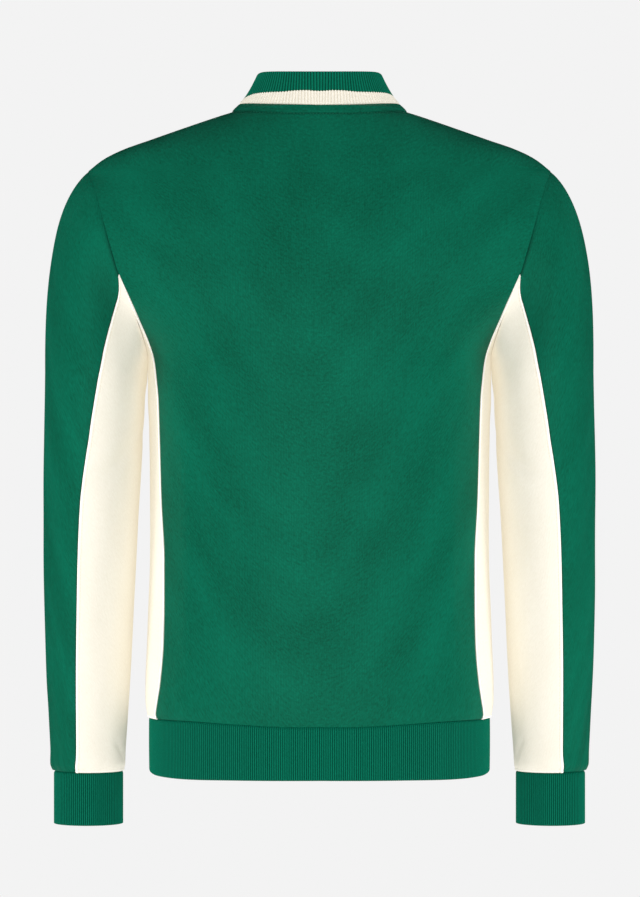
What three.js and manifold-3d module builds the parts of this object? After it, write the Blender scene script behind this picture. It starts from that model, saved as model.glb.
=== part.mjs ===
// Track jacket, filled out and hollow, zipped up, with its sleeves hanging.
// Millimetres. +Z is up, the back faces +Y, the front faces -Y and the wearer's left is +X.
// The origin is the middle of the neck opening, level with the foot of the collar at the shoulders.
import * as THREE from 'three'
import { mergeVertices } from 'three/addons/utils/BufferGeometryUtils.js'
import Module from 'manifold-3d'

const { PI, abs, acos, asin, cos, max, min, pow, round, sin } = Math

// Driving dimensions
const clothThickness = 1.5
const ribThickness = 1.5        // the rib's plain inside lies level with the cloth's inside
const ribProud = 0.7            // the rib's grooves stand this far outside the cloth
const ribHeight = 0.6           // and its ribs this much further
const seamGap = 0.3
const sectionPower = 2.3        // how square the body's level sections are
const samePlace = 0.02          // points nearer than this are one place of a seam
const weldWithin = 0.001
const smoothSeamCosine = 0.6    // seams folded more sharply than this keep a normal for each side

const neckHalfWidth = 80
const neckBackDepth = 58
const neckFrontDepth = 72
const neckSideHeight = 6
const neckBackHeight = 0
const neckFrontHeight = -78
const neckDip = 1.25            // how late the front neckline drops
const shoulderHeight = -61      // where the shoulder seam meets the armhole
const underarmHeight = -245
const apexHeight = -164         // where the cream panels end in a point on the armhole
const armholeBackDepth = 78
const armholeFrontDepth = 68
const underarmSoftness = 1.35   // how gently the armhole closes under the arm
const hemSeamHeight = -606.5
const hemBottomHeight = -659
const sleeveRingHeight = -262   // the first level section of the sleeve, just under the arm
const cuffSeamHeight = -659.5
const cuffBottomHeight = -712.5
const zipOpening = 6.5          // from the middle of the zip to the edge of each front
const ribClearance = 0.4        // the collar and hem band end this much further out
const besideZipShare = 0.145    // the front's first column beside the zip, as a share of its width

// Silhouette of the shoulders, neck to sleeve head.
const shoulderRows = [
  { height: 6, halfWidth: 80 }, { height: 3, halfWidth: 85 }, { height: 0, halfWidth: 90 },
  { height: -3, halfWidth: 97 }, { height: -9, halfWidth: 114 }, { height: -19, halfWidth: 142.5 },
  { height: -29, halfWidth: 170.5 }, { height: -39, halfWidth: 197 }, { height: -49, halfWidth: 216 },
  { height: -61, halfWidth: 231 },
]
// Half width of the armhole, seen from the back.
const armholeRows = [
  { height: -61, halfWidth: 231 }, { height: -79, halfWidth: 222.5 }, { height: -114, halfWidth: 212 },
  { height: -139, halfWidth: 204.7 }, { height: -164, halfWidth: 196.4 }, { height: -189, halfWidth: 187.4 },
  { height: -214, halfWidth: 178.6 }, { height: -235, halfWidth: 172.8 }, { height: -245, halfWidth: 171.4 },
]
// Half width of the body under the arms.
const bodyRows = [
  { height: -245, halfWidth: 171.4 }, { height: -289, halfWidth: 171.3 }, { height: -315, halfWidth: 169.6 },
  { height: -360, halfWidth: 168.6 }, { height: -409, halfWidth: 168.5 }, { height: -449, halfWidth: 169.3 },
  { height: -489, halfWidth: 170.3 }, { height: -529, halfWidth: 171.7 }, { height: -569, halfWidth: 173.4 },
  { height: -589, halfWidth: 173.6 }, { height: -600, halfWidth: 172.6 },
  { height: -606.5, halfWidth: 171.2 },
]
// Depth of the body at its middle, behind and in front of the shoulder line.
const backRows = [
  { height: 0, depth: 58 }, { height: -20, depth: 69 }, { height: -40, depth: 78.5 },
  { height: -61, depth: 87 },
  { height: -90, depth: 96.5 }, { height: -120, depth: 104 }, { height: -160, depth: 111.5 },
  { height: -200, depth: 116 }, { height: -245, depth: 118.5 }, { height: -300, depth: 119 },
  { height: -360, depth: 117 }, { height: -420, depth: 114.5 }, { height: -480, depth: 113 },
  { height: -540, depth: 112.5 }, { height: -590, depth: 112 }, { height: -606.5, depth: 110 },
]
const frontRows = [
  { height: -78, depth: 72 }, { height: -100, depth: 84.5 }, { height: -130, depth: 99 },
  { height: -160, depth: 110 }, { height: -200, depth: 121 }, { height: -245, depth: 127 },
  { height: -300, depth: 128 }, { height: -360, depth: 125 }, { height: -420, depth: 120.5 },
  { height: -480, depth: 116.5 }, { height: -540, depth: 114 }, { height: -590, depth: 113 },
  { height: -606.5, depth: 111 },
]
// Half width of the green back and fronts where they meet the cream side panels.
const panelRows = [
  { height: -164, halfWidth: 196.4 }, { height: -189, halfWidth: 184.4 }, { height: -209, halfWidth: 177 },
  { height: -229, halfWidth: 170.3 }, { height: -249, halfWidth: 164.6 }, { height: -269, halfWidth: 161.5 },
  { height: -289, halfWidth: 159 }, { height: -329, halfWidth: 157.8 }, { height: -389, halfWidth: 156 },
  { height: -449, halfWidth: 153 }, { height: -489, halfWidth: 153 }, { height: -529, halfWidth: 153.8 },
  { height: -569, halfWidth: 157.2 }, { height: -589, halfWidth: 160.3 }, { height: -602, halfWidth: 162 },
  { height: -606.5, halfWidth: 160.5 },
]
// Level sections of the sleeve: the middle across and from front to back, and the half sizes.
const sleeveRows = [
  { height: -262, across: 223.8, forward: 3, halfWidth: 49.8, halfDepth: 73 },
  { height: -289, across: 224.4, forward: 3, halfWidth: 49.8, halfDepth: 70 },
  { height: -349, across: 226.5, forward: 3, halfWidth: 49, halfDepth: 63 },
  { height: -409, across: 228.5, forward: 2, halfWidth: 47, halfDepth: 58 },
  { height: -489, across: 230.3, forward: -2, halfWidth: 44.8, halfDepth: 51 },
  { height: -549, across: 231.2, forward: -6, halfWidth: 42.7, halfDepth: 45 },
  { height: -609, across: 232, forward: -11, halfWidth: 39.4, halfDepth: 38 },
  { height: -640, across: 232.4, forward: -14, halfWidth: 37.6, halfDepth: 34.5 },
  { height: -652, across: 232.4, forward: -15, halfWidth: 36.8, halfDepth: 33 },
  { height: -659.5, across: 231.7, forward: -15.5, halfWidth: 34.6, halfDepth: 29.5 },
]
// Where the sleeve's cream underarm panel begins, in degrees round from the outside of the sleeve:
// first by the share of the way down the sleeve's cap, then by height.
const capSeamRows = [
  { share: 0, turn: 96.9 }, { share: 0.02, turn: 100.4 }, { share: 0.05, turn: 103.5 },
  { share: 0.1, turn: 106.8 },
  { share: 0.17, turn: 109 }, { share: 0.21, turn: 109.6 }, { share: 0.335, turn: 110.2 },
  { share: 0.458, turn: 109.7 }, { share: 0.575, turn: 108.3 }, { share: 0.68, turn: 106.6 },
  { share: 0.784, turn: 104.5 }, { share: 0.884, turn: 102.6 }, { share: 1, turn: 100.2 },
]
const undersleeveRows = [
  { height: -262, turn: 100.2 }, { height: -270, turn: 98.5 }, { height: -290, turn: 95 },
  { height: -310, turn: 91.8 }, { height: -330, turn: 89.3 }, { height: -348, turn: 86.5 },
  { height: -388, turn: 81.5 }, { height: -448, turn: 79 }, { height: -486, turn: 78.3 },
  { height: -566, turn: 76.5 }, { height: -628, turn: 76 }, { height: -660, turn: 76 },
]

// Grid lines. The armhole's heights are shared by the body and the sleeve, so that their edges match.
const shoulderLines = [-6, -14, -24, -36, -48]
const armholeLines = [-61, -63.5, -68, -75, -87, -104, -124, -144, -164, -184, -204, -222, -236, -245]
const bodyLines = [-275, -310, -350, -400, -450, -500, -545, -585, hemSeamHeight]
const sleeveLines = [-300, -330, -349, -368, -405, -450, -500, -550, -605, -642, cuffSeamHeight]
const capShares = [0.08, 0.2, 0.45, 0.72, 1]
const panelColumns = 6
const sidePanelColumns = 3
const hemRibs = 130
const cuffRibs = 40
const collarRibs = 76
const collarShares = [1, 0.5, 0]
const bandMeasureSteps = 720    // steps in which the hem band is measured to space its ribs evenly

const clothMaterial = new THREE.MeshStandardMaterial({ color: '#0a6b4e', roughness: 0.75 })
const creamMaterial = new THREE.MeshStandardMaterial({ color: '#fbf3df', roughness: 0.8 })
const ribMaterial = new THREE.MeshStandardMaterial({ color: '#07694c', roughness: 0.85 })
const tapeMaterial = new THREE.MeshStandardMaterial({ color: '#0a5d44', roughness: 0.85 })
const teethMaterial = new THREE.MeshStandardMaterial({ color: '#0a5d44', roughness: 0.45 })
const metalMaterial = new THREE.MeshStandardMaterial({ color: '#b9bcbd', roughness: 0.3, metalness: 1 })

const wasm = await Module()
wasm.setup()
const jacket = new THREE.Group()

// A smooth curve through one column of a table against another, with no overshoot.
function tableCurve(rows, value, key = 'height') {
  const points = [...rows].sort((a, b) => a[key] - b[key])
  const x = points.map(row => row[key])
  const y = points.map(row => row[value])
  const rise = x.slice(1).map((end, i) => (y[i + 1] - y[i]) / (end - x[i]))
  const slope = x.map((_, i) => {
    if (i === 0) return rise[0]
    if (i === x.length - 1) return rise[i - 1]
    return rise[i - 1] * rise[i] <= 0 ? 0 : 2 * rise[i - 1] * rise[i] / (rise[i - 1] + rise[i])
  })
  return at => {
    const t = min(max(at, x[0]), x[x.length - 1])
    let i = 0
    while (i < x.length - 2 && t > x[i + 1]) i++
    const span = x[i + 1] - x[i]
    const s = (t - x[i]) / span
    return y[i] * (1 + 2 * s) * (1 - s) ** 2 + y[i + 1] * s * s * (3 - 2 * s)
      + span * (slope[i] * s * (1 - s) ** 2 + slope[i + 1] * s * s * (s - 1))
  }
}

const shoulderHalfWidth = tableCurve(shoulderRows, 'halfWidth')
const armholeHalfWidth = tableCurve(armholeRows, 'halfWidth')
const bodyHalfWidth = tableCurve(bodyRows, 'halfWidth')
const backDepth = tableCurve(backRows, 'depth')
const frontDepth = tableCurve(frontRows, 'depth')
const panelHalfWidth = tableCurve(panelRows, 'halfWidth')
const capSeamTurn = tableCurve(capSeamRows, 'turn', 'share')
const undersleeveTurn = tableCurve(undersleeveRows, 'turn')
const sleeveSection = {
  across: tableCurve(sleeveRows, 'across'),
  forward: tableCurve(sleeveRows, 'forward'),
  halfWidth: tableCurve(sleeveRows, 'halfWidth'),
  halfDepth: tableCurve(sleeveRows, 'halfDepth'),
}

// What is left of 1 on a rounded-square section at a share of its half size.
const squareRest = (share, power = sectionPower) => pow(max(0, 1 - pow(min(1, abs(share)), power)), 1 / power)
const smoothStep = (from, to, at) => {
  const s = min(1, max(0, (at - from) / (to - from)))
  return s * s * (3 - 2 * s)
}
const mix = (a, b, share) => a + (b - a) * share

// The neckline, turn 0 at the middle of the back and PI at the middle of the front.
function neckline(turn) {
  const front = turn > PI / 2
  const height = front
    ? neckSideHeight + (neckFrontHeight - neckSideHeight) * pow(-cos(turn), neckDip)
    : mix(neckBackHeight, neckSideHeight, sin(turn) ** 2)
  const depth = front ? neckFrontDepth : neckBackDepth
  return new THREE.Vector3(neckHalfWidth * sin(turn), depth * cos(turn), height)
}

// The turn at which the neckline passes a height.
function necklineTurn(height, side) {
  if (side > 0) return asin(pow(max(0, (height - neckBackHeight) / (neckSideHeight - neckBackHeight)), 0.5))
  return acos(-pow(max(0, (neckSideHeight - height) / (neckSideHeight - neckFrontHeight)), 1 / neckDip))
}

// The armhole, turn 0 at the shoulder and PI under the arm; side 1 is the back, -1 the front.
function armhole(turn, side) {
  const height = mix(underarmHeight, shoulderHeight, (1 + cos(turn)) / 2)
  const fullDepth = side > 0 ? armholeBackDepth : armholeFrontDepth
  const depth = fullDepth * pow(sin(turn), turn > PI / 2 ? underarmSoftness : 1)
  return new THREE.Vector3(armholeHalfWidth(height), side * depth, height)
}
const armholeTurn = height =>
  acos(min(1, max(-1, 2 * (height - underarmHeight) / (shoulderHeight - underarmHeight) - 1)))

// Depth of the body's level section at its middle: through the neckline above the neck's middle.
function middleDepth(height, side) {
  const neckMiddle = side > 0 ? neckBackHeight : neckFrontHeight
  if (height <= neckMiddle) return side > 0 ? backDepth(height) : frontDepth(height)
  const point = neckline(necklineTurn(min(height, neckSideHeight - samePlace), side))
  return abs(point.y) / squareRest(point.x / shoulderHalfWidth(height))
}

// Half width of the body's level section: through the armhole between shoulder and underarm.
function sectionHalfWidth(height, side) {
  if (height >= shoulderHeight) return shoulderHalfWidth(height)
  if (height <= underarmHeight) return bodyHalfWidth(height)
  const point = armhole(armholeTurn(height), side)
  return point.x / squareRest(point.y / middleDepth(height, side))
}

function bodyPoint(x, height, side) {
  const depth = middleDepth(height, side) * squareRest(x / sectionHalfWidth(height, side))
  return new THREE.Vector3(x, side * depth, height)
}

// Half width of the green panels at a height: shoulder seam, armhole, then the side panel's seam.
function greenEdge(height) {
  if (height >= shoulderHeight) return shoulderHalfWidth(height)
  return height >= apexHeight ? armholeHalfWidth(height) : panelHalfWidth(height)
}

// A grid of points as a surface. Seen from outside, u runs to the right and v runs down.
function surface(columns, rows, pointAt, raiseAt) {
  const geometry = new THREE.PlaneGeometry(1, 1, columns, rows)
  const { position, uv } = geometry.attributes
  const raise = new Float32Array(position.count)
  for (let i = 0; i < position.count; i++) {
    const column = round(uv.getX(i) * columns)
    const row = round((1 - uv.getY(i)) * rows)
    const point = pointAt({ u: column / columns, row, column })
    position.setXYZ(i, point.x, point.y, point.z)
    raise[i] = raiseAt ? raiseAt(column) : 0
  }
  geometry.deleteAttribute('normal')
  geometry.deleteAttribute('uv')
  geometry.setAttribute('raise', new THREE.BufferAttribute(raise, 1))
  return geometry
}

function joined(surfaces) {
  const position = []
  const raise = []
  const index = []
  for (const part of surfaces) {
    const first = position.length / 3
    position.push(...part.attributes.position.array)
    raise.push(...part.attributes.raise.array)
    index.push(...Array.from(part.index.array, i => i + first))
  }
  const geometry = new THREE.BufferGeometry()
  geometry.setAttribute('position', new THREE.Float32BufferAttribute(position, 3))
  geometry.setAttribute('raise', new THREE.Float32BufferAttribute(raise, 1))
  geometry.setIndex(index)
  return geometry
}

// The welded triangles of some surfaces, with their own normals.
function welded(surfaces) {
  const sheet = mergeVertices(joined(surfaces), weldWithin)
  const indices = sheet.index.array
  const faces = []
  for (let i = 0; i < indices.length; i += 3) {
    const face = [indices[i], indices[i + 1], indices[i + 2]]
    if (new Set(face).size === 3) faces.push(face)
  }
  sheet.setIndex(faces.flat())
  sheet.computeVertexNormals()
  return sheet
}

// Where two pieces meet smoothly they take one normal, so that their walls end on the same line.
// The left pieces stand for both sides.
function shareNormals(sheets) {
  const places = new Map()
  const keyOf = ({ x, y, z }) => [abs(x), y, z].map(value => round(value / samePlace)).join(' ')
  const point = new THREE.Vector3()
  const vector = new THREE.Vector3()
  for (const { attributes: { position, normal } } of sheets) {
    for (let i = 0; i < position.count; i++) {
      if (position.getX(i) < 0) continue
      const key = keyOf(point.fromBufferAttribute(position, i))
      if (!places.has(key)) places.set(key, new THREE.Vector3())
      places.get(key).add(vector.fromBufferAttribute(normal, i))
    }
  }
  for (const { attributes: { position, normal } } of sheets) {
    for (let i = 0; i < position.count; i++) {
      const shared = places.get(keyOf(point.fromBufferAttribute(position, i)))?.clone().normalize()
      if (!shared) continue
      if (point.x < 0) shared.x *= -1
      vector.fromBufferAttribute(normal, i)
      if (vector.dot(shared) > smoothSeamCosine) normal.setXYZ(i, shared.x, shared.y, shared.z)
    }
  }
}

// Moves a sheet's edges back from its seams by half of the seam gap.
function trimEdges(sheet, edges) {
  const { position, normal } = sheet.attributes
  const at = i => new THREE.Vector3().fromBufferAttribute(position, i)
  const moves = new Map()
  for (const [a, b] of edges) {
    const inward = new THREE.Vector3().fromBufferAttribute(normal, a).cross(at(b).sub(at(a))).normalize()
    for (const i of [a, b]) moves.set(i, [...(moves.get(i) ?? []), inward])
  }
  for (const [i, [first, second = first]] of moves) {
    const move = first.clone().add(second)
    const scale = seamGap / 2 / max(0.5, move.dot(first))
    position.setXYZ(i, ...at(i).addScaledVector(move, scale).toArray())
  }
}

// A closed wall on a sheet: its outside lies `out` beyond the sheet, its inside `within` under it.
function wall(sheet, out, within) {
  const indices = Array.from(sheet.index.array)
  const faces = Array.from({ length: indices.length / 3 }, (_, i) => indices.slice(3 * i, 3 * i + 3))
  const keys = new Set(faces.flatMap(([a, b, c]) => [`${a} ${b}`, `${b} ${c}`, `${c} ${a}`]))
  const edges = [...keys].map(key => key.split(' ').map(Number)).filter(([a, b]) => !keys.has(`${b} ${a}`))
  trimEdges(sheet, edges)
  const { position, normal, raise } = sheet.attributes
  const count = position.count
  const points = []
  for (const inside of [false, true]) {
    for (let i = 0; i < count; i++) {
      const lift = inside ? -within : out + raise.getX(i)
      for (const axis of ['X', 'Y', 'Z']) {
        points.push(position[`get${axis}`](i) + normal[`get${axis}`](i) * lift)
      }
    }
  }
  const index = faces.flatMap(([a, b, c]) => [a, b, c, a + count, c + count, b + count])
  // Facing edges split along the same diagonal, so that a twisted pair still fits.
  for (const [a, b] of edges) {
    if (position.getZ(a) > position.getZ(b)) index.push(b, a, b + count, a, a + count, b + count)
    else index.push(b, a, a + count, b, a + count, b + count)
  }
  const geometry = new THREE.BufferGeometry()
  geometry.setAttribute('position', new THREE.Float32BufferAttribute(points, 3))
  geometry.setIndex(index)
  return geometry
}

function mirrored(geometry) {
  const copy = geometry.clone()
  const { position } = copy.attributes
  for (let i = 0; i < position.count; i++) position.setX(i, -position.getX(i))
  const turned = []
  for (let i = 0; i < copy.index.count; i += 3) {
    turned.push(copy.index.getX(i), copy.index.getX(i + 2), copy.index.getX(i + 1))
  }
  copy.setIndex(turned)
  return copy
}

function addPiece(name, geometry, material, parent = jacket) {
  const mesh = new THREE.Mesh(geometry, material)
  mesh.name = name
  parent.add(mesh)
}

function addPair(name, leftGeometry, material) {
  addPiece(`${name}_left`, leftGeometry, material)
  addPiece(`${name}_right`, mirrored(leftGeometry), material)
}

// Heights of the rows of the green panels, from the foot of the collar to the hem seam.
const panelLines = [neckSideHeight, ...shoulderLines, ...armholeLines, ...bodyLines]

function makeBack() {
  const pointAt = ({ u, row }) => {
    const share = 1 - 2 * u
    if (row === 0) {
      const point = neckline(abs(share) * PI / 2)
      return point.setX(Math.sign(share) * point.x)
    }
    const height = panelLines[row]
    return bodyPoint(greenEdge(height) * sin(share * PI / 2), height, 1)
  }
  return welded([surface(2 * panelColumns, panelLines.length - 1, pointAt)])
}

// Height at the zip of a front's row whose outer end is at a height.
const zipSideHeight = tableCurve([
  { height: neckSideHeight, zip: neckFrontHeight }, { height: -61, zip: -128 }, { height: -164, zip: -196 },
  { height: -245, zip: -256 }, { height: -310, zip: -310 }, { height: hemSeamHeight, zip: hemSeamHeight },
], 'zip')

// The left front, from the zip at u = 0 to the shoulder, armhole and side seams at u = 1.
function makeFront() {
  const first = zipOpening / neckHalfWidth
  const start = asin(first)
  const besideZip = asin(besideZipShare)
  const columns = panelColumns + 1
  const pointAt = ({ row, column }) => {
    const turn = column === 0 ? start : mix(besideZip, PI / 2, (column - 1) / panelColumns)
    if (row === 0) return neckline(PI - turn)
    const outerHeight = panelLines[row]
    const height = mix(outerHeight, zipSideHeight(outerHeight), pow(cos(turn), neckDip))
    const x = mix(zipOpening, greenEdge(outerHeight), (sin(turn) - first) / (1 - first))
    return bodyPoint(x, height, -1)
  }
  return welded([surface(columns, panelLines.length - 1, pointAt)])
}

// The cream side panel: a strip under the arm and two horns that narrow to points on the armhole.
function makeSidePanel() {
  const horn = armholeLines.filter(height => height <= apexHeight && height > underarmHeight)
  const rows = [...horn, underarmHeight, ...bodyLines]
  const half = side => {
    const pointAt = ({ u, row }) => {
      const height = rows[row]
      const halfWidth = sectionHalfWidth(height, side)
      const inner = asin(panelHalfWidth(height) / halfWidth)
      const outer = height > underarmHeight ? asin(armholeHalfWidth(height) / halfWidth) : PI / 2
      const turn = mix(inner, outer, side > 0 ? 1 - u : u)
      return bodyPoint(halfWidth * sin(turn), height, side)
    }
    return surface(sidePanelColumns, rows.length - 1, pointAt)
  }
  return welded([half(-1), half(1)])
}

// Direction in which the body's cloth runs out across the armhole, from the shoulder's slope at the top.
const outwardRule = {
  shoulderSlope: new THREE.Vector3(0.76, 0, -0.65), measuredFrom: 0.6, measuredTo: PI - 0.1, step: 0.01,
}

function armholeOutward(turn, side) {
  const { shoulderSlope, measuredFrom, measuredTo, step } = outwardRule
  const measuredTurn = min(max(turn, measuredFrom), measuredTo)
  const here = armhole(measuredTurn, side)
  const along = armhole(measuredTurn + step, side).sub(armhole(measuredTurn - step, side))
  const across = bodyPoint(here.x - 3, here.z, side).sub(bodyPoint(here.x - 1, here.z, side))
  const normal = new THREE.Vector3().crossVectors(along, across).normalize()
  const outward = new THREE.Vector3().crossVectors(normal, along).normalize()
  if (outward.x < 0) outward.negate()
  return outward.lerp(shoulderSlope, 1 - smoothStep(0, measuredFrom, turn)).normalize()
}

function sleeveRing(turn, side, height) {
  const { across, forward, halfWidth, halfDepth } = sleeveSection
  return new THREE.Vector3(
    across(height) + halfWidth(height) * cos(turn),
    forward(height) + side * halfDepth(height) * sin(turn),
    height)
}

// The elbow's crease: a soft trough across the inside of the sleeve.
const elbow = { height: -349, turn: 130, slant: 0.55, depth: 3.2, reach: 9, spread: 38 }

function elbowCrease(turn, height) {
  const degrees = turn * 180 / PI
  const along = degrees - elbow.turn
  const off = height - elbow.height - elbow.slant * along
  return elbow.depth * Math.exp(-((off / elbow.reach) ** 2)) * Math.exp(-((along / elbow.spread) ** 2))
}

// The sleeve, turn 0 on its outside and PI on its inside. It leaves the armhole along the body's
// cloth at the top and bends down to its first level section; under the arm it drops at once.
const sleeveCap = { startPull: 0.78, endPull: 0.95, dropFrom: 95, dropTo: 150 }

function sleeveCapPoint(turn, side, share) {
  const from = armhole(turn, side)
  const to = sleeveRing(turn, side, sleeveRingHeight)
  const drop = smoothStep(sleeveCap.dropFrom, sleeveCap.dropTo, turn * 180 / PI)
  const start = armholeOutward(turn, side).multiplyScalar(1 - drop)
  start.z -= drop
  start.normalize()
  const chord = from.distanceTo(to)
  const a = start.multiplyScalar(sleeveCap.startPull * chord)
  const b = new THREE.Vector3(0, 0, -sleeveCap.endPull * chord)
  const s = share
  return from.multiplyScalar((1 + 2 * s) * (1 - s) ** 2).addScaledVector(to, s * s * (3 - 2 * s))
    .addScaledVector(a, s * (1 - s) ** 2).addScaledVector(b, s * s * (s - 1))
}

const sleeveTurns = armholeLines.map(armholeTurn)
const apexTurn = armholeTurn(apexHeight)

// Turns drift along the sleeve so that the panel's seam stays on a grid line.
function driftedTurn(turn, seamDegrees) {
  const seam = seamDegrees * PI / 180
  return turn <= apexTurn ? turn * seam / apexTurn : PI - (PI - turn) * (PI - seam) / (PI - apexTurn)
}

function makeSleevePiece(turns) {
  const rows = capShares.length + sleeveLines.length
  const pointAt = ({ row, column }) => {
    const { turn, side } = turns[column]
    if (row === 0) return sleeveCapPoint(turn, side, 0)
    if (row <= capShares.length) {
      const share = capShares[row - 1]
      return sleeveCapPoint(driftedTurn(turn, capSeamTurn(share)), side, share)
    }
    const height = sleeveLines[row - capShares.length - 1]
    const place = driftedTurn(turn, undersleeveTurn(height))
    const point = sleeveRing(place, side, height)
    const dent = elbowCrease(place, height)
    return point.add(new THREE.Vector3(-cos(place), -side * sin(place), 0).multiplyScalar(dent))
  }
  return welded([surface(turns.length - 1, rows, pointAt)])
}

// The columns of a sleeve piece, front to back over the outside, or back to front under the arm.
function sleeveColumns(inUndersleeve) {
  const used = sleeveTurns.filter(turn => inUndersleeve ? turn >= apexTurn : turn <= apexTurn)
  const back = used.map(turn => ({ turn, side: 1 }))
  const front = used.map(turn => ({ turn, side: -1 }))
  if (inUndersleeve) return [...back, ...front.reverse().slice(1)]
  return [...front.reverse(), ...back.slice(1)]
}

// The rib collar, share 0 at its foot and 1 at its folded top edge.
const collarTop = {
  halfWidth: 61.5, backDepth: 54.5, frontDepth: 69,
  backHeight: 33.5, sideHeight: 36.5, frontHeight: -42, power: 2.35,
}
const collarFootLift = 0.7      // the foot stands this far above the neckline
const collarLean = 0.78         // below 1 the collar leans in more near its foot

function collarPoint(turn, share) {
  const front = turn > PI / 2
  const foot = neckline(turn)
  const { power } = collarTop
  const topX = collarTop.halfWidth * pow(sin(turn), 2 / power)
  const topY = (front ? -collarTop.frontDepth : collarTop.backDepth) * pow(abs(cos(turn)), 2 / power)
  const topZ = front
    ? mix(collarTop.sideHeight, collarTop.frontHeight, pow(-cos(turn), neckDip))
    : mix(collarTop.backHeight, collarTop.sideHeight, sin(turn) ** 2)
  const inward = pow(share, collarLean)
  return new THREE.Vector3(
    mix(foot.x, topX, inward), mix(foot.y, topY, inward), mix(foot.z + collarFootLift, topZ, share))
}

const ribRaise = column => column % 2 ? ribHeight : 0

function makeCollar() {
  const end = PI - asin((zipOpening + ribClearance) / collarTop.halfWidth)
  const pointAt = ({ u, row }) => {
    const turn = mix(end, -end, u)
    const point = collarPoint(abs(turn), collarShares[row])
    return point.setX(Math.sign(turn) * point.x)
  }
  return welded([surface(2 * collarRibs, collarShares.length - 1, pointAt, ribRaise)])
}

// The rib band round the hem, share 0 at its seam and 1 at its folded edge.
const bandTop = { halfWidth: 169.9, backDepth: 110, frontDepth: 111 }
const bandEdge = { halfWidth: 169, backDepth: 108, frontDepth: 109 }

function bandPoint(turn, share) {
  const height = mix(hemSeamHeight, hemBottomHeight, share)
  const depthKey = cos(turn) > 0 ? 'backDepth' : 'frontDepth'
  const halfWidth = mix(bandTop.halfWidth, bandEdge.halfWidth, share)
  const depth = mix(bandTop[depthKey], bandEdge[depthKey], share)
  const x = halfWidth * Math.sign(sin(turn)) * pow(abs(sin(turn)), 2 / sectionPower)
  const y = depth * Math.sign(cos(turn)) * pow(abs(cos(turn)), 2 / sectionPower)
  return new THREE.Vector3(x, y, height)
}

function makeHemBand() {
  // Even steps round the section, found from the share of its length at each turn.
  const end = PI - asin(pow((zipOpening + ribClearance) / bandTop.halfWidth, sectionPower / 2))
  const steps = bandMeasureSteps
  const turns = Array.from({ length: steps + 1 }, (_, i) => mix(end, -end, i / steps))
  const length = [0]
  for (let i = 1; i <= steps; i++) {
    length.push(length[i - 1] + bandPoint(turns[i], 0).distanceTo(bandPoint(turns[i - 1], 0)))
  }
  const measured = turns.map((turn, i) => ({ turn, share: length[i] / length[steps] }))
  const turnAt = tableCurve(measured, 'turn', 'share')
  const pointAt = ({ u, row }) => bandPoint(turnAt(u), row)
  return welded([surface(2 * hemRibs, 1, pointAt, ribRaise)])
}

const cuff = { across: 231.5, forward: -15.5, halfWidth: 33, halfDepth: 26.5 }

function makeCuff() {
  const pointAt = ({ u, row }) => {
    const turn = -2 * PI * u
    return new THREE.Vector3(
      cuff.across - cuff.halfWidth * cos(turn),
      cuff.forward + cuff.halfDepth * sin(turn),
      row ? cuffBottomHeight : cuffSeamHeight)
  }
  return welded([surface(2 * cuffRibs, 1, pointAt, ribRaise)])
}

// The zip follows the middle of the front: band, body, then collar.
const zip = {
  bottom: -657, top: -43.5, lineSpacing: 1,
  tapeInner: 3.3, tapeOuter: 15, tapeUnder: 1.9, tapeThickness: 0.8,
  teethOut: -0.7, teethIn: 3.3, teethInner: 0.12, teethHalfWidth: 3, teethBelowTop: 2.9,
  boxLength: 12, boxHalfWidth: 3, boxOut: 0.2, boxIn: 4.3, boxGap: 0.2, sliderLength: 11,
}
const zipLines = panelLines.map(zipSideHeight)

function zipPoint(x, height) {
  if (height < hemSeamHeight) {
    const share = (hemSeamHeight - height) / (hemSeamHeight - hemBottomHeight)
    return new THREE.Vector3(x, -mix(bandTop.frontDepth, bandEdge.frontDepth, share), height)
  }
  if (height < neckFrontHeight) return bodyPoint(x, height, -1)
  const share = (height - neckFrontHeight) / (collarTop.frontHeight - neckFrontHeight)
  const turn = PI - asin(abs(x) / mix(neckHalfWidth, collarTop.halfWidth, share))
  const point = collarPoint(turn, share)
  return new THREE.Vector3(x, point.y, height)
}

function makeZipStrip(inner, outer, bottom, top, columns = 1) {
  const space = zip.lineSpacing
  const between = zipLines.filter(height => height > bottom + space && height < top - space)
  const rows = [top, ...between, bottom]
  const pointAt = ({ u, row }) => zipPoint(mix(inner, outer, u), rows[row])
  return welded([surface(columns, rows.length - 1, pointAt)])
}

function extruded(outline, depth, holes = []) {
  const shape = new THREE.Shape(outline)
  shape.holes = holes.map(points => new THREE.Path(points))
  return new THREE.ExtrudeGeometry(shape, { depth, bevelEnabled: false })
}
const flatPoints = points => points.map(([x, y]) => new THREE.Vector2(x, y))

// The slider stands at the top of the closed zip; its own frame has x across, y up the zip, z outwards.
const slider = {
  halfWidth: 4.6, topHalfWidth: 3.4, plateThickness: 1.2, faceOut: 1.1, faceIn: -3.8,
  bridgeHalfWidth: 1.1, bridgeBar: 1, bridgeTop: 3.6, bridgeBottom: -3.8, bridgeRise: 3.5,
}
const tab = {
  length: 25, halfWidth: 3.2, neckHalfWidth: 2.6, thickness: 1.2,
  slotHalfWidth: 1.5, slotBottom: -6.8, bar: 0.6,
}
const pivot = { up: 0, out: slider.faceOut + 1.25 }

const collarFront = {
  foot: new THREE.Vector3(0, -neckFrontDepth, neckFrontHeight),
  top: new THREE.Vector3(0, -collarTop.frontDepth, collarTop.frontHeight),
}
const zipLean = Math.atan2(collarFront.top.y - collarFront.foot.y, collarFront.top.z - collarFront.foot.z)

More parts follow.
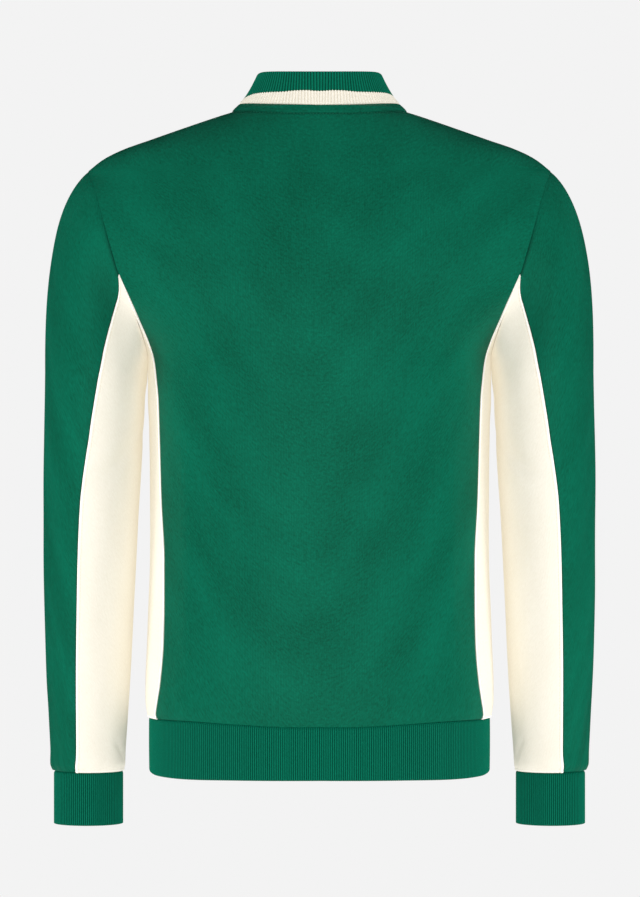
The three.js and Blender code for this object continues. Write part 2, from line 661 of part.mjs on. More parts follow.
// Plates in front of and behind the teeth, joined by a wedge above them, and the bridge for the tab.
function makeSlider() {
  const { halfWidth: w, topHalfWidth: t, plateThickness: thick, bridgeBar: bar } = slider
  const end = zip.sliderLength / 2
  const outline = flatPoints([[-t, end], [-w, end - 3], [-w, -end + 1], [-w + 1, -end],
    [w - 1, -end], [w, -end + 1], [w, end - 3], [t, end]])
  const wedge = flatPoints([[-2, end - 2.4], [2, end - 2.4], [2.6, end - 0.2], [-2.6, end - 0.2]])
  const bridge = flatPoints([[slider.bridgeBottom, -0.2], [slider.bridgeBottom + bar, -0.2],
    [slider.bridgeBottom + bar, slider.bridgeRise - bar], [slider.bridgeTop - bar, slider.bridgeRise - bar],
    [slider.bridgeTop - bar, -0.2], [slider.bridgeTop, -0.2], [slider.bridgeTop, slider.bridgeRise - 0.6],
    [slider.bridgeTop - 0.8, slider.bridgeRise], [slider.bridgeBottom + 0.8, slider.bridgeRise],
    [slider.bridgeBottom, slider.bridgeRise - 0.6]])
  const frontPlate = extruded(outline, thick).translate(0, 0, slider.faceOut - thick)
  const backPlate = extruded(outline, thick).translate(0, 0, slider.faceIn - thick)
  const post = extruded(wedge, slider.faceOut - slider.faceIn).translate(0, 0, slider.faceIn - thick / 2)
  // The bridge's outline lies in the plane of up and out, and is turned to stand on the front plate.
  const arch = extruded(bridge, 2 * slider.bridgeHalfWidth).translate(0, 0, -slider.bridgeHalfWidth)
  const turn = new THREE.Matrix4().makeBasis(
    new THREE.Vector3(0, 1, 0), new THREE.Vector3(0, 0, 1), new THREE.Vector3(1, 0, 0))
  arch.applyMatrix4(turn).translate(0, 0, slider.faceOut)
  return fused([frontPlate, backPlate, post, arch])
}

function makeTab() {
  const { halfWidth: w, neckHalfWidth: n, length, slotHalfWidth: slot, bar } = tab
  const outline = flatPoints([[-n + 0.8, bar], [-n, bar - 0.8], [-n, -8], [-w, -11],
    [-w, -length + 2], [-w + 2, -length], [w - 2, -length], [w, -length + 2],
    [w, -11], [n, -8], [n, bar - 0.8], [n - 0.8, bar]])
  const window = flatPoints([[-slot, -bar], [slot, -bar], [slot, tab.slotBottom], [-slot, tab.slotBottom]])
  return extruded(outline, tab.thickness, [window]).translate(0, 0, -tab.thickness / 2)
}

// Joins closed meshes into one.
function fused(geometries) {
  const solids = geometries.map(source => {
    const bare = source.clone()
    for (const key of Object.keys(bare.attributes)) if (key !== 'position') bare.deleteAttribute(key)
    const merged = mergeVertices(bare, weldWithin / 10)
    return new wasm.Manifold(new wasm.Mesh({
      numProp: 3,
      vertProperties: new Float32Array(merged.attributes.position.array),
      triVerts: new Uint32Array(merged.index.array),
    }))
  })
  const result = solids.reduce((sum, solid) => sum.add(solid)).getMesh()
  const geometry = new THREE.BufferGeometry()
  geometry.setAttribute('position', new THREE.BufferAttribute(result.vertProperties, 3))
  geometry.setIndex(new THREE.BufferAttribute(result.triVerts, 1))
  return geometry
}

// The frame of the slider: upright on the front of the collar, tilted with it.
const sliderMiddle = zip.top - zip.sliderLength / 2
const sliderFrame = new THREE.Group()
sliderFrame.position.copy(zipPoint(0, sliderMiddle))
sliderFrame.rotation.x = PI / 2 - zipLean
jacket.add(sliderFrame)

const back = makeBack()
const front = makeFront()
const sidePanel = makeSidePanel()
const sleeve = makeSleevePiece(sleeveColumns(false))
const undersleeve = makeSleevePiece(sleeveColumns(true))
shareNormals([back, front, sidePanel, sleeve, undersleeve])

addPiece('back', wall(back, 0, clothThickness), clothMaterial)
addPair('front', wall(front, 0, clothThickness), clothMaterial)
addPair('side_panel', wall(sidePanel, 0, clothThickness), creamMaterial)
addPair('sleeve', wall(sleeve, 0, clothThickness), clothMaterial)
addPair('undersleeve', wall(undersleeve, 0, clothThickness), creamMaterial)
addPair('cuff', wall(makeCuff(), ribProud, ribThickness), ribMaterial)
addPiece('hem_band', wall(makeHemBand(), ribProud, ribThickness), ribMaterial)
addPiece('collar', wall(makeCollar(), ribProud, ribThickness), ribMaterial)

const teethBottom = zip.bottom + zip.boxLength
const tape = makeZipStrip(zip.tapeInner, zip.tapeOuter, zip.bottom, zip.top, 2)
const teeth = makeZipStrip(zip.teethInner, zip.teethHalfWidth, teethBottom, zip.top - zip.teethBelowTop)
const box = makeZipStrip(-zip.boxHalfWidth, zip.boxHalfWidth, zip.bottom, teethBottom - zip.boxGap)
addPair('zip_tape', wall(tape, -zip.tapeUnder, zip.tapeUnder + zip.tapeThickness), tapeMaterial)
addPair('zip_teeth', wall(teeth, zip.teethOut, zip.teethIn), teethMaterial)
addPiece('zip_box', wall(box, zip.boxOut, zip.boxIn), metalMaterial)
addPiece('zip_slider', makeSlider(), metalMaterial, sliderFrame)
addPiece('pull_tab', makeTab().translate(0, pivot.up, pivot.out), metalMaterial, sliderFrame)

export default jacket
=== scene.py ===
from bisect import bisect_right
from math import acos, asin, cos, exp, hypot, pi, radians, sin, sqrt

import bmesh
import bpy
from mathutils import Matrix, Vector, noise


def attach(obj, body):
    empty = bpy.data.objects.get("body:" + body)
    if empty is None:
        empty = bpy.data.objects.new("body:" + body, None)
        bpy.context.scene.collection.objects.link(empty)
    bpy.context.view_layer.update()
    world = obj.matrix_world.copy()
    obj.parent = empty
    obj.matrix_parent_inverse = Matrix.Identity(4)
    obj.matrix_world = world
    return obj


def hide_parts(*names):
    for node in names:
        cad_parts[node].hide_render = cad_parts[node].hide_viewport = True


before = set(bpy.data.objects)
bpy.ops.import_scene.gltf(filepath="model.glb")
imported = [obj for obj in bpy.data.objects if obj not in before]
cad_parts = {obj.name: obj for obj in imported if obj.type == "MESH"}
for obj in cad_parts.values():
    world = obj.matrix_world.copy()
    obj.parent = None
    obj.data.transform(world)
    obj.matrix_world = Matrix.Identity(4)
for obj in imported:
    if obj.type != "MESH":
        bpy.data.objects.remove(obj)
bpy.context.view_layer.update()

# Track jacket, zipped up, filled out and hollow, hanging from the neck as if worn.
# Lengths in the shape tables are millimetres, and meshes are turned to metres when they are made.
# The back faces +Y, the wearer's left is +X, and the origin is the middle of the neck opening.

mm = 0.001

# shape of the body: heights go down from the neck, widths out from the middle
body = {
    "power": 2.3,               # how square the level sections are
    "neckHalfWidth": 80, "neckBackDepth": 58, "neckFrontDepth": 72,
    "neckSideHeight": 6, "neckBackHeight": 0, "neckFrontHeight": -78, "neckDip": 1.25,
    "shoulderHeight": -61, "underarmHeight": -245, "apexHeight": -167.5,
    "armholeBackDepth": 78, "armholeFrontDepth": 68, "underarmSoftness": 1.35,
    "hemSeam": -606.5, "hemBottom": -659, "zipOpening": 6.5,
    # the rows bend to the neck above joinHeight, the hem's seam bows below riseFrom,
    # and the side seams show below sideSeamTop
    "joinHeight": -6, "riseFrom": -540, "sideSeamTop": -57,
    # height and half width
    "shoulder": [
        (6, 80), (3, 83.2), (1, 85.2), (-1, 87), (-2.6, 88.8), (-3.8, 92.5), (-5.3, 97.5), (-10.8, 114),
        (-20.7, 142.5), (-30.5, 170.5), (-39.8, 197), (-49.3, 216), (-61, 231),
    ],
    "armhole": [
        (-61, 231), (-79, 222.5), (-114, 212), (-139, 204.9), (-167.5, 196.5), (-189, 187.8),
        (-214, 178.6), (-235, 172.8), (-245, 171.4),
    ],
    "side": [
        (-245, 171.4), (-289, 171.3), (-315, 169.6), (-360, 168.6), (-409, 168.5), (-449, 169.3),
        (-489, 170.3), (-529, 171.7), (-569, 173.4), (-589, 173.6), (-600, 172.6), (-606.5, 171.2),
    ],
    "panelSeam": [
        (-167.5, 196.5), (-182, 190.2), (-196, 183.9), (-211, 177.8), (-232, 169.2), (-252, 163.2),
        (-269, 161), (-289, 159), (-329, 157.8), (-389, 156), (-449, 153), (-489, 153), (-529, 153.8),
        (-569, 157.2), (-589, 160.3), (-602, 162), (-606.5, 160.5),
    ],
    # height and depth of the middle
    "back": [
        (0, 58), (-20, 69), (-40, 78.5), (-61, 87), (-90, 96.5), (-120, 104), (-160, 111.5),
        (-200, 116), (-245, 118.5), (-300, 119), (-360, 117), (-420, 114.5), (-480, 113), (-540, 112.5),
        (-590, 112), (-606.5, 110),
    ],
    "front": [
        (-78, 72), (-100, 84.5), (-130, 99), (-160, 110), (-200, 121), (-245, 127), (-300, 128),
        (-360, 125), (-420, 120.5), (-480, 116.5), (-540, 114), (-590, 113), (-606.5, 111),
    ],
    # distance from the middle and height of the needle line that holds the tape behind the neck
    "tapeLine": [
        (0, -8.3), (30, -7.9), (55, -6.2), (70, -5.1), (80, -4.1), (84, -3.1), (87, -1.6), (88.6, -0.4),
    ],
    # distance from the middle and how much higher the hem's seam lies there, and how much lower its edge
    "hemSeamRise": [(0, -1.6), (30, -1.8), (82, 0.3), (131, 2.0), (172, 1.4)],
    "hemEdgeDrop": [(0, 0.2), (80, 0.8), (140, 2.0), (160, 1.6), (167, 0), (169.5, -3)],
    # outer height of a front's row, and its height at the zip
    "zipSide": [(6, -78), (-61, -128), (-164, -196), (-245, -256), (-310, -310), (-606.5, -606.5)],
}
seam = {
    "steps": [0, 0.4, 0.8, 1.3, 1.9, 2.6, 3.2, 3.6, 4.0, 4.7, 5.8, 7.4],   # grid lines beside a seam
    "needleLine": 7,            # the step on which the needle line lies
    "mostOfRow": 0.4,           # the share of a row that one seam's steps may take
}
neckTape = {
    # how far from the neck's seam the needle line runs and the tape ends, and how far it stands out
    "needleAway": 8.1, "end": (6.4, 7.6), "proud": 0.5,
    "pull": 0.7, "width": 0.7, "shade": 0.6,    # depth, width and darkness of the needle line's groove
    "reach": 30, "rows": 40,    # how far down, and in how many rows, the tape is looked for
}
cloth = {
    "wall": 1.5, "spacing": 3.3, "frontSpacing": 4.2, "sleeveSpacing": 3.6,
    "waveSize": 70, "waveHeight": 0.5,      # very low swells
    "calmSide": 22, "calmHem": 10,          # how near the seams the creases die out
    # rows at the neck: shares of the way down to joinHeight, then close rows, then even ones
    "neckShares": (0, 0.03, 0.06, 0.1, 0.15, 0.21, 0.28, 0.36, 0.45, 0.55, 0.65, 0.76, 0.88),
    "closeRows": 17, "closeStep": 1.1, "evenFrom": -25,
}
sideName = {1: "left", -1: "right"}


def mix(a, b, share):
    return a + (b - a) * share


def clamp(value, low, high):
    return min(max(value, low), high)


def smooth(start, end, at):
    s = clamp((at - start) / (end - start), 0, 1)
    return s * s * (3 - 2 * s)


def fade(start, end, at):
    return 1 - smooth(start, end, at)


def bump(off, width):
    return exp(-((off / width) ** 2))


def tableCurve(rows):
    # a smooth curve through a table, with no overshoot
    rows = sorted(rows)
    x = [row[0] for row in rows]
    y = [row[1] for row in rows]
    rise = [(y[i + 1] - y[i]) / (x[i + 1] - x[i]) for i in range(len(x) - 1)]
    inner = [0 if a * b <= 0 else 2 * a * b / (a + b) for a, b in zip(rise, rise[1:])]
    slope = [rise[0], *inner, rise[-1]]

    def at(place):
        place = clamp(place, x[0], x[-1])
        i = min(bisect_right(x, place) - 1, len(x) - 2)
        span = x[i + 1] - x[i]
        s = (place - x[i]) / span
        return (y[i] * (1 + 2 * s) * (1 - s) ** 2 + y[i + 1] * s * s * (3 - 2 * s)
                + span * (slope[i] * s * (1 - s) ** 2 + slope[i + 1] * s * s * (s - 1)))
    return at


shoulderHalfWidth, armholeHalfWidth, sideHalfWidth, panelHalfWidth, backDepth, frontDepth = (
    tableCurve(body[key]) for key in ("shoulder", "armhole", "side", "panelSeam", "back", "front"))
zipSideHeight, tapeLine, hemSeamRise, hemEdgeDrop = (
    tableCurve(body[key]) for key in ("zipSide", "tapeLine", "hemSeamRise", "hemEdgeDrop"))


def squareRest(share):
    # what is left of 1 on a rounded-square section at a share of its half size
    return max(0, 1 - min(1, abs(share)) ** body["power"]) ** (1 / body["power"])


def neckline(turn):
    # turn 0 is the middle of the back and pi the middle of the front
    front = turn > pi / 2
    if front:
        drop = body["neckFrontHeight"] - body["neckSideHeight"]
        height = body["neckSideHeight"] + drop * max(0, -cos(turn)) ** body["neckDip"]
    else:
        height = mix(body["neckBackHeight"], body["neckSideHeight"], sin(turn) ** 2)
    depth = body["neckFrontDepth"] if front else body["neckBackDepth"]
    return Vector((body["neckHalfWidth"] * sin(turn), depth * cos(turn), height))


def necklineTurn(height, side):
    if side > 0:
        share = (height - body["neckBackHeight"]) / (body["neckSideHeight"] - body["neckBackHeight"])
        return asin(sqrt(clamp(share, 0, 1)))
    share = (body["neckSideHeight"] - height) / (body["neckSideHeight"] - body["neckFrontHeight"])
    return acos(-clamp(share, 0, 1) ** (1 / body["neckDip"]))


def armholeTurn(height):
    share = (height - body["underarmHeight"]) / (body["shoulderHeight"] - body["underarmHeight"])
    return acos(clamp(2 * share - 1, -1, 1))


def armhole(turn, side):
    # turn 0 is the shoulder and pi the underarm; side 1 is the back, -1 the front
    height = mix(body["underarmHeight"], body["shoulderHeight"], (1 + cos(turn)) / 2)
    depth = body["armholeBackDepth"] if side > 0 else body["armholeFrontDepth"]
    softness = body["underarmSoftness"] if turn > pi / 2 else 1
    return Vector((armholeHalfWidth(height), side * depth * max(0, sin(turn)) ** softness, height))


def middleDepth(height, side):
    neckMiddle = body["neckBackHeight"] if side > 0 else body["neckFrontHeight"]
    if height <= neckMiddle:
        return backDepth(height) if side > 0 else frontDepth(height)
    point = neckline(necklineTurn(min(height, body["neckSideHeight"] - 0.01), side))
    return abs(point.y) / squareRest(point.x / shoulderHalfWidth(height))


def sectionHalfWidth(height, side):
    if height >= body["shoulderHeight"]:
        return shoulderHalfWidth(height)
    if height <= body["underarmHeight"]:
        return sideHalfWidth(height)
    point = armhole(armholeTurn(height), side)
    return point.x / squareRest(point.y / middleDepth(height, side))


def seamRise(x, side):
    # the hem's seam bows at the back and rises a little at the sides
    sideMost = body["hemSeamRise"][-1][0]
    return hemSeamRise(abs(x)) if side > 0 else hemSeamRise(sideMost) * (x / sideMost) ** 2


def bodyPoint(x, height, side):
    depth = middleDepth(height, side) * squareRest(x / sectionHalfWidth(height, side))
    rise = 0
    if height < body["riseFrom"]:
        rise = seamRise(x, side) * smooth(body["riseFrom"], body["hemSeam"], height)
    return Vector((x, side * depth, height + rise))


necklinePoints = [neckline(pi * i / 90) for i in range(91)]


def neckAway(point):
    # distance from the neck's seam; at the back it is measured down from the needle line
    if point.y > 0:
        return neckTape["needleAway"] + tapeLine(abs(point.x)) - point.z
    mirrored = Vector((abs(point.x), point.y, point.z))
    return min((mirrored - place).length for place in necklinePoints)


def greenEdge(height):
    if height >= body["shoulderHeight"]:
        return shoulderHalfWidth(height)
    return armholeHalfWidth(height) if height >= body["apexHeight"] else panelHalfWidth(height)


def seamPlaces(length, spaces, firstSeam=True, lastSeam=True):
    # places along a row: close together beside its seams and even between them
    scale = min(1, seam["mostOfRow"] * length / seam["steps"][-1])
    lead = [step * scale for step in seam["steps"]]
    start, first = (lead[:-1], lead[-1]) if firstSeam else ([], 0)
    end, last = (lead[:-1], length - lead[-1]) if lastSeam else ([], length)
    even = [mix(first, last, i / spaces) for i in range(spaces + 1)]
    return start + even + [length - step for step in reversed(end)]


def runningLength(points):
    # how far along a row of points each one lies
    total = [0]
    for a, b in zip(points, points[1:]):
        total.append(total[-1] + (b - a).length)
    return total


def marksAlong(curve, samples, placesFor):
    # the marks, 0 to 1, that lie at chosen places along a curve, and the curve's length
    marks = [i / samples for i in range(samples + 1)]
    length = runningLength([curve(mark) for mark in marks])
    found = []
    for place in placesFor(length[-1]):
        i = min(bisect_right(length, place) - 1, samples - 1)
        span = length[i + 1] - length[i]
        share = (place - length[i]) / span if span > 0 else 0
        found.append(mix(marks[i], marks[i + 1], share))
    return found, length[-1]


def evenRow(curve, spaces):
    # points on a curve at the seam places along it
    marks, _ = marksAlong(curve, 72, lambda length: seamPlaces(length, spaces))
    return [curve(mark) for mark in marks]


def seamLevels(top, bottom, spacing, topSeam=True, bottomSeam=True):
    # heights of the rows from top to bottom
    spaces = max(2, round((top - bottom) / spacing))
    return [top - place for place in seamPlaces(top - bottom, spaces, topSeam, bottomSeam)]


def flipped(rows):
    # the same rows on the other side of the garment, still seen from outside
    return [[Vector((-point.x, point.y, point.z)) for point in reversed(row)] for row in rows]


def clothGrid(rows, relief, middle=0.5, striped=(), paintedLightAt=None):
    # a grid of points as a bmesh, with its UV in metres of cloth and relief moved along its normals; tone is
    # painted light: painted shade in a rib's furrow and a green seam's groove, and a painted highlight on a
    # rib's crown and a cream seam's rolled edge
    bm = bmesh.new()
    columns, lines = len(rows[0]) - 1, len(rows) - 1
    bmesh.ops.create_grid(bm, x_segments=columns, y_segments=lines, size=1)
    uvLayer = bm.loops.layers.uv.new("UVMap")
    tone = bm.verts.layers.float.new("tone")
    across = [runningLength(row) for row in rows]
    down = [runningLength(line) for line in zip(*rows)]
    spot = {}
    for vert in bm.verts:
        column = round((vert.co.x + 1) / 2 * columns)
        row = round((1 - vert.co.y) / 2 * lines)
        spot[vert] = (row, column)
        vert.co = rows[row][column]
    bm.normal_update()
    for face in bm.faces:
        face.material_index = 1 if min(spot[vert][0] for vert in face.verts) in striped else 0
        for loop in face.loops:
            row, column = spot[loop.vert]
            beside = across[row][column] - middle * across[row][-1]
            loop[uvLayer].uv = (beside * mm, -down[column][row] * mm)
    moved = [[None] * (columns + 1) for _ in rows]
    for vert, (row, column) in spot.items():
        # distances to the four edges are measured on the cloth
        left, right = across[row][column], across[row][-1] - across[row][column]
        top, bottom = down[column][row], down[column][-1] - down[column][row]
        place = {"column": column, "point": vert.co, "left": left, "right": right, "edge": min(left, right),
                 "top": top, "bottom": bottom}
        if paintedLightAt:
            vert[tone] = paintedLightAt(place)
        vert.co = vert.co + vert.normal * relief(place)
        moved[row][column] = (vert.co.copy(), vert.normal.copy())
    return bm, moved


def finishPiece(name, bm, materials, node=None, bodyName="jacket"):
    # turns the millimetres to metres and puts the piece into the frame
    bmesh.ops.scale(bm, vec=(mm, mm, mm), verts=bm.verts)
    for face in bm.faces:
        face.smooth = True
    mesh = bpy.data.meshes.new(name)
    bm.to_mesh(mesh)
    bm.free()
    for material in materials:
        mesh.materials.append(material)
    piece = bpy.data.objects.new(name, mesh)
    bpy.context.scene.collection.objects.link(piece)
    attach(piece, bodyName)
    if node:
        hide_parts(node)
    return piece


def wallCloth(bm, thickness=cloth["wall"]):
    # gives the sheet its thickness, inwards
    bmesh.ops.remove_doubles(bm, verts=bm.verts, dist=0.01)
    bm.normal_update()
    shell = bmesh.ops.extrude_face_region(bm, geom=bm.faces[:], use_keep_orig=True)
    for item in shell["geom"]:
        if isinstance(item, bmesh.types.BMVert):
            item.co -= item.normal * thickness
    bmesh.ops.recalc_face_normals(bm, faces=bm.faces)


def creaseLift(creases, a, b):
    # soft troughs and ridges: each runs from one place to another on the cloth, and may bow
    lift = 0
    for a0, b0, a1, b1, bow, width, height in creases:
        da, db = a1 - a0, b1 - b0
        long = hypot(da, db)
        t = ((a - a0) * da + (b - b0) * db) / long ** 2
        if not -0.15 < t < 1.15:
            continue
        off = ((a - a0) * db - (b - b0) * da) / long - bow * (1 - (2 * t - 1) ** 2)
        if abs(off) > 3 * width:
            continue
        shown = smooth(-0.15, 0.3, t) * fade(0.7, 1.15, t)
        lift += height * bump(off, width) * shown
    return lift


def softWaves(point, size, height, seed):
    # very low swells, so that no panel is quite even
    return height * noise.noise(Vector((point.x / size, point.y / size, point.z / (1.8 * size) + seed)))


def creamSeam(away):
    # the cream's edge rolls over the seam, then the needle line holds it down
    return -0.5 * fade(0, 0.6, away) + 0.5 * bump(away - 1.5, 0.9) - 0.3 * bump(away - 3.6, 0.5)


def paintedCreamHighlight(away):
    # how far the painted highlight on the cream's rolled edge shows
    return smooth(-0.4, 0.3, away) * fade(2.0, 2.9, away)


def greenSeam(away):
    # the green dips into the seam and lies under the cream's edge
    return -1.0 * fade(0, 1.2, away) - 0.2 * fade(0, 4, away)


def darkLine(away, width=1.0):
    # how far the shade in a seam's groove shows
    return 0.75 * fade(0, width, away)


def armholeDepth(height):
    # the armhole's seam is flat on the shoulder and deep towards the underarm
    return mix(0.12, 1, smooth(-85, -165, height))


def overSeam(away):
    # the body's side of the armhole, which lies a little over the sleeve
    return -0.3 * fade(0, 0.8, away) + 0.3 * bump(away - 2.0, 1.6)


def underSeam(away):
    # the sleeve's side of the armhole, drawn in under the body's edge
    return -0.8 * fade(0, 1.6, away) - 0.9 * fade(0, 9, away)


def colour(code):
    # sRGB hex to linear RGBA
    values = [int(code[i:i + 2], 16) / 255 for i in (1, 3, 5)]
    linear = [v / 12.92 if v <= 0.04045 else ((v + 0.055) / 1.055) ** 2.4 for v in values]
    return (*linear, 1)


def addNode(tree, kind, output=None, inputs=None, **settings):
    # adds a node and gives one of its outputs; an input is a value, or a socket to link
    node = tree.nodes.new("ShaderNode" + kind)
    for key, value in settings.items():
        setattr(node, key, value)
    for key, value in (inputs or {}).items():
        if isinstance(value, bpy.types.NodeSocket):
            tree.links.new(value, node.inputs[key])
        else:
            node.inputs[key].default_value = value
    return node.outputs[output] if output else None


def newMaterial(name):
    material = bpy.data.materials.new(name)
    material.use_nodes = True
    tree = material.node_tree
    tree.nodes.clear()
    return material, tree


bandSpan = 0.314    # metres between a wave texture's bands at scale 1


def knitCloth(name, base, deep, light, edge, shine, paintedGlow):
    # polyester interlock: smooth close knit with fine upright wales and a soft dull shine
    material, tree = newMaterial(name)
    place = addNode(tree, "UVMap", "UV", uv_map="UVMap")
    # wales are 0.8 mm apart; they are drawn 1.6 mm apart so that they show
    wales = addNode(tree, "TexWave", "Fac", {
        "Vector": place, "Scale": bandSpan / 0.0016, "Distortion": 1.6, "Detail": 2.0, "Detail Scale": 0.6},
        bands_direction="X")
    # loops of yarn lie 2 to 4 mm long in the wales and now and then across them
    upright = addNode(tree, "Mapping", "Vector", {"Vector": place, "Scale": (1, 0.6, 1)})
    level = addNode(tree, "Mapping", "Vector", {"Vector": place, "Scale": (0.6, 1, 1)})
    grain = addNode(tree, "TexNoise", "Fac", {"Vector": upright, "Scale": 760, "Detail": 3, "Roughness": 0.7})
    cross = addNode(tree, "TexNoise", "Fac", {"Vector": level, "Scale": 430, "Detail": 2})
    swell = addNode(tree, "TexNoise", "Fac", {"Vector": place, "Scale": 14, "Detail": 4})
    yarn = addNode(tree, "Mix", "Result", {"Factor": 0.42, "A": grain, "B": cross})
    tone = addNode(tree, "Mix", "Result", {"Factor": 0.3, "A": yarn, "B": swell})
    shade = addNode(tree, "MapRange", "Result", {"Value": tone, "From Min": 0.38, "From Max": 0.62})
    ground = addNode(tree, "Mix", "Result", {"Factor": shade, "A": colour(deep), "B": colour(light)},
                     data_type="RGBA")
    mixed = addNode(tree, "Mix", "Result", {"Factor": 0.15, "A": ground, "B": colour(base)}, data_type="RGBA")
    # the edge colour mixed in here by the tone attribute is painted light: painted shade in the green's seam
    # grooves and a painted highlight on the cream's rolled edges
    paintedSeamLight = addNode(tree, "Attribute", "Fac", attribute_name="tone")
    withPaintedSeamLight = addNode(tree, "Mix", "Result", {"Factor": paintedSeamLight, "A": mixed, "B": colour(edge)},
                    data_type="RGBA")
    height = addNode(tree, "Mix", "Result", {"Factor": 0.55, "A": wales, "B": yarn})
    relief = addNode(tree, "Bump", "Normal", {"Height": height, "Strength": 0.45, "Distance": 0.0005})
    # a glow, where one is given, is painted light: the cloth gives off light though it is no lamp
    shader = addNode(tree, "BsdfPrincipled", "BSDF", {
        "Base Color": withPaintedSeamLight, "Roughness": 0.6, "Specular IOR Level": shine, "Normal": relief,
        "Emission Color": colour(base), "Emission Strength": paintedGlow})
    addNode(tree, "OutputMaterial", None, {"Surface": shader})
    return material


def ribCloth(name, base, deep, light):
    # polyester rib: plump upright ribs, each a chain of small stitches 1.3 mm high; the furrows are darkened
    # with painted shade and the crowns lightened with painted light
    material, tree = newMaterial(name)
    place = addNode(tree, "UVMap", "UV", uv_map="UVMap")
    courses = addNode(tree, "TexWave", "Fac", {
        "Vector": place, "Scale": bandSpan / 0.0013, "Distortion": 1.2, "Detail": 1.0, "Detail Scale": 2.0},
        bands_direction="Y")
    grain = addNode(tree, "TexNoise", "Fac", {"Vector": place, "Scale": 420, "Detail": 3})
    # the crown's tone mixes painted shade into the furrows and painted light onto the crowns
    crown = addNode(tree, "Attribute", "Fac", attribute_name="tone")
    lit = addNode(tree, "MapRange", "Result", {"Value": crown, "From Min": 0.1, "From Max": 0.95})
    ribbed = addNode(tree, "Mix", "Result", {"Factor": lit, "A": colour(deep), "B": colour(light)},
                     data_type="RGBA")
    mottle = addNode(tree, "MapRange", "Result", {
        "Value": grain, "From Min": 0.35, "From Max": 0.65, "To Min": 0.0, "To Max": 0.4})
    mixed = addNode(tree, "Mix", "Result", {"Factor": mottle, "A": ribbed, "B": colour(base)},
                    data_type="RGBA")
    height = addNode(tree, "Mix", "Result", {"Factor": 0.5, "A": courses, "B": grain})
    relief = addNode(tree, "Bump", "Normal", {"Height": height, "Strength": 0.5, "Distance": 0.0004})
    shader = addNode(tree, "BsdfPrincipled", "BSDF", {
        "Base Color": mixed, "Roughness": 0.75, "Specular IOR Level": 0.08, "Normal": relief})
    addNode(tree, "OutputMaterial", None, {"Surface": shader})
    return material


def zipMaterial(name, base, metallic, roughness, grainScale, grainDepth):
    # thread and the zip's parts: one colour, with a fine grain in the gloss and in the relief
    material, tree = newMaterial(name)
    place = addNode(tree, "TexCoord", "Object")
    grain = addNode(tree, "TexNoise", "Fac", {"Vector": place, "Scale": grainScale, "Detail": 3})
    worn = addNode(tree, "MapRange", "Result", {
        "Value": grain, "To Min": roughness - 0.06, "To Max": roughness + 0.08})
    relief = addNode(tree, "Bump", "Normal", {"Height": grain, "Strength": 0.3, "Distance": grainDepth})
    shader = addNode(tree, "BsdfPrincipled", "BSDF", {
        "Base Color": colour(base), "Metallic": metallic, "Roughness": worn, "Normal": relief})
    addNode(tree, "OutputMaterial", None, {"Surface": shader})
    return material


# the cream's glow is painted light: an emission that brightens the pale cloth, most of all where sleeve and
# body shade it
# the green's dark edge colour is painted shade for its seam grooves, and the cream's whiter edge colour is a
# painted highlight for its rolled edges
greenCloth = knitCloth("green polyester interlock", "#015e45", "#004e38", "#016e54", "#00291d", 0.09, 0)
creamCloth = knitCloth("cream polyester interlock", "#e3ded0", "#dfd8c8", "#e8e3d6", "#f8f5ef", 0.08, 0.26)
# a rib's deep colour is painted shade for its furrows, and its light colour is painted light for its crowns
greenRib = ribCloth("green polyester rib", "#015d45", "#002f22", "#02745a")
creamRib = ribCloth("cream polyester rib", "#f1ebdb", "#e9e0cc", "#f5efe2")
# spun and woven yarn is dull, moulded acetal has a soft gloss, and plated nickel shines
greenThread = zipMaterial("green polyester thread", "#0d6f52", 0, 0.55, 900, 0.0001)
creamThread = zipMaterial("cream polyester thread", "#f7ecd5", 0, 0.55, 900, 0.0001)
wovenTape = zipMaterial("green woven zip tape", "#0a5d44", 0, 0.7, 1400, 0.0002)
mouldedTeeth = zipMaterial("green moulded acetal", "#0b6148", 0, 0.35, 300, 0.00005)
nickel = zipMaterial("nickel-plated zinc", "#c3c5c4", 1, 0.28, 260, 0.00003)

# how deep a stitch lies in the cloth, and in the soft band at the neck
stitch = {"length": 2.4, "gap": 0.8, "halfWidth": 0.26, "halfHeight": 0.2, "sunk": 0.05, "neckSunk": 0.2}


def stitchAlong(runs, path, sunk=stitch["sunk"]):
    # short rounded stitches laid along a path of points and normals
    bm = bmesh.new()
    step = stitch["length"] + stitch["gap"]
    walked, target = 0, step / 2
    for (a, normalA), (b, normalB) in zip(path, path[1:]):
        gone = (b - a).length
        while gone > 0 and target <= walked + gone:
            share = (target - walked) / gone
            along = (b - a).normalized()
            up = normalA.lerp(normalB, share).normalized()
            across = along.cross(up).normalized()
            middle = a.lerp(b, share) + up * (stitch["halfHeight"] - sunk)
            turn = Matrix((across * stitch["halfWidth"], up * stitch["halfHeight"],
                           along * stitch["length"] / 2)).transposed().to_4x4()
            bmesh.ops.create_uvsphere(bm, u_segments=6, v_segments=3, radius=1,
                                      matrix=Matrix.Translation(middle) @ turn)
            target += step
        walked += gone
    run = bpy.data.meshes.new("run")
    bm.to_mesh(run)
    bm.free()
    runs.append(run)


def sewTogether(name, runs, material):
    # one piece for all runs of a colour
    bm = bmesh.new()
    for run in runs:
        bm.from_mesh(run)
        bpy.data.meshes.remove(run)
    finishPiece(name, bm, [material])


greenStitches = []
creamStitches = []
needle = seam["needleLine"]

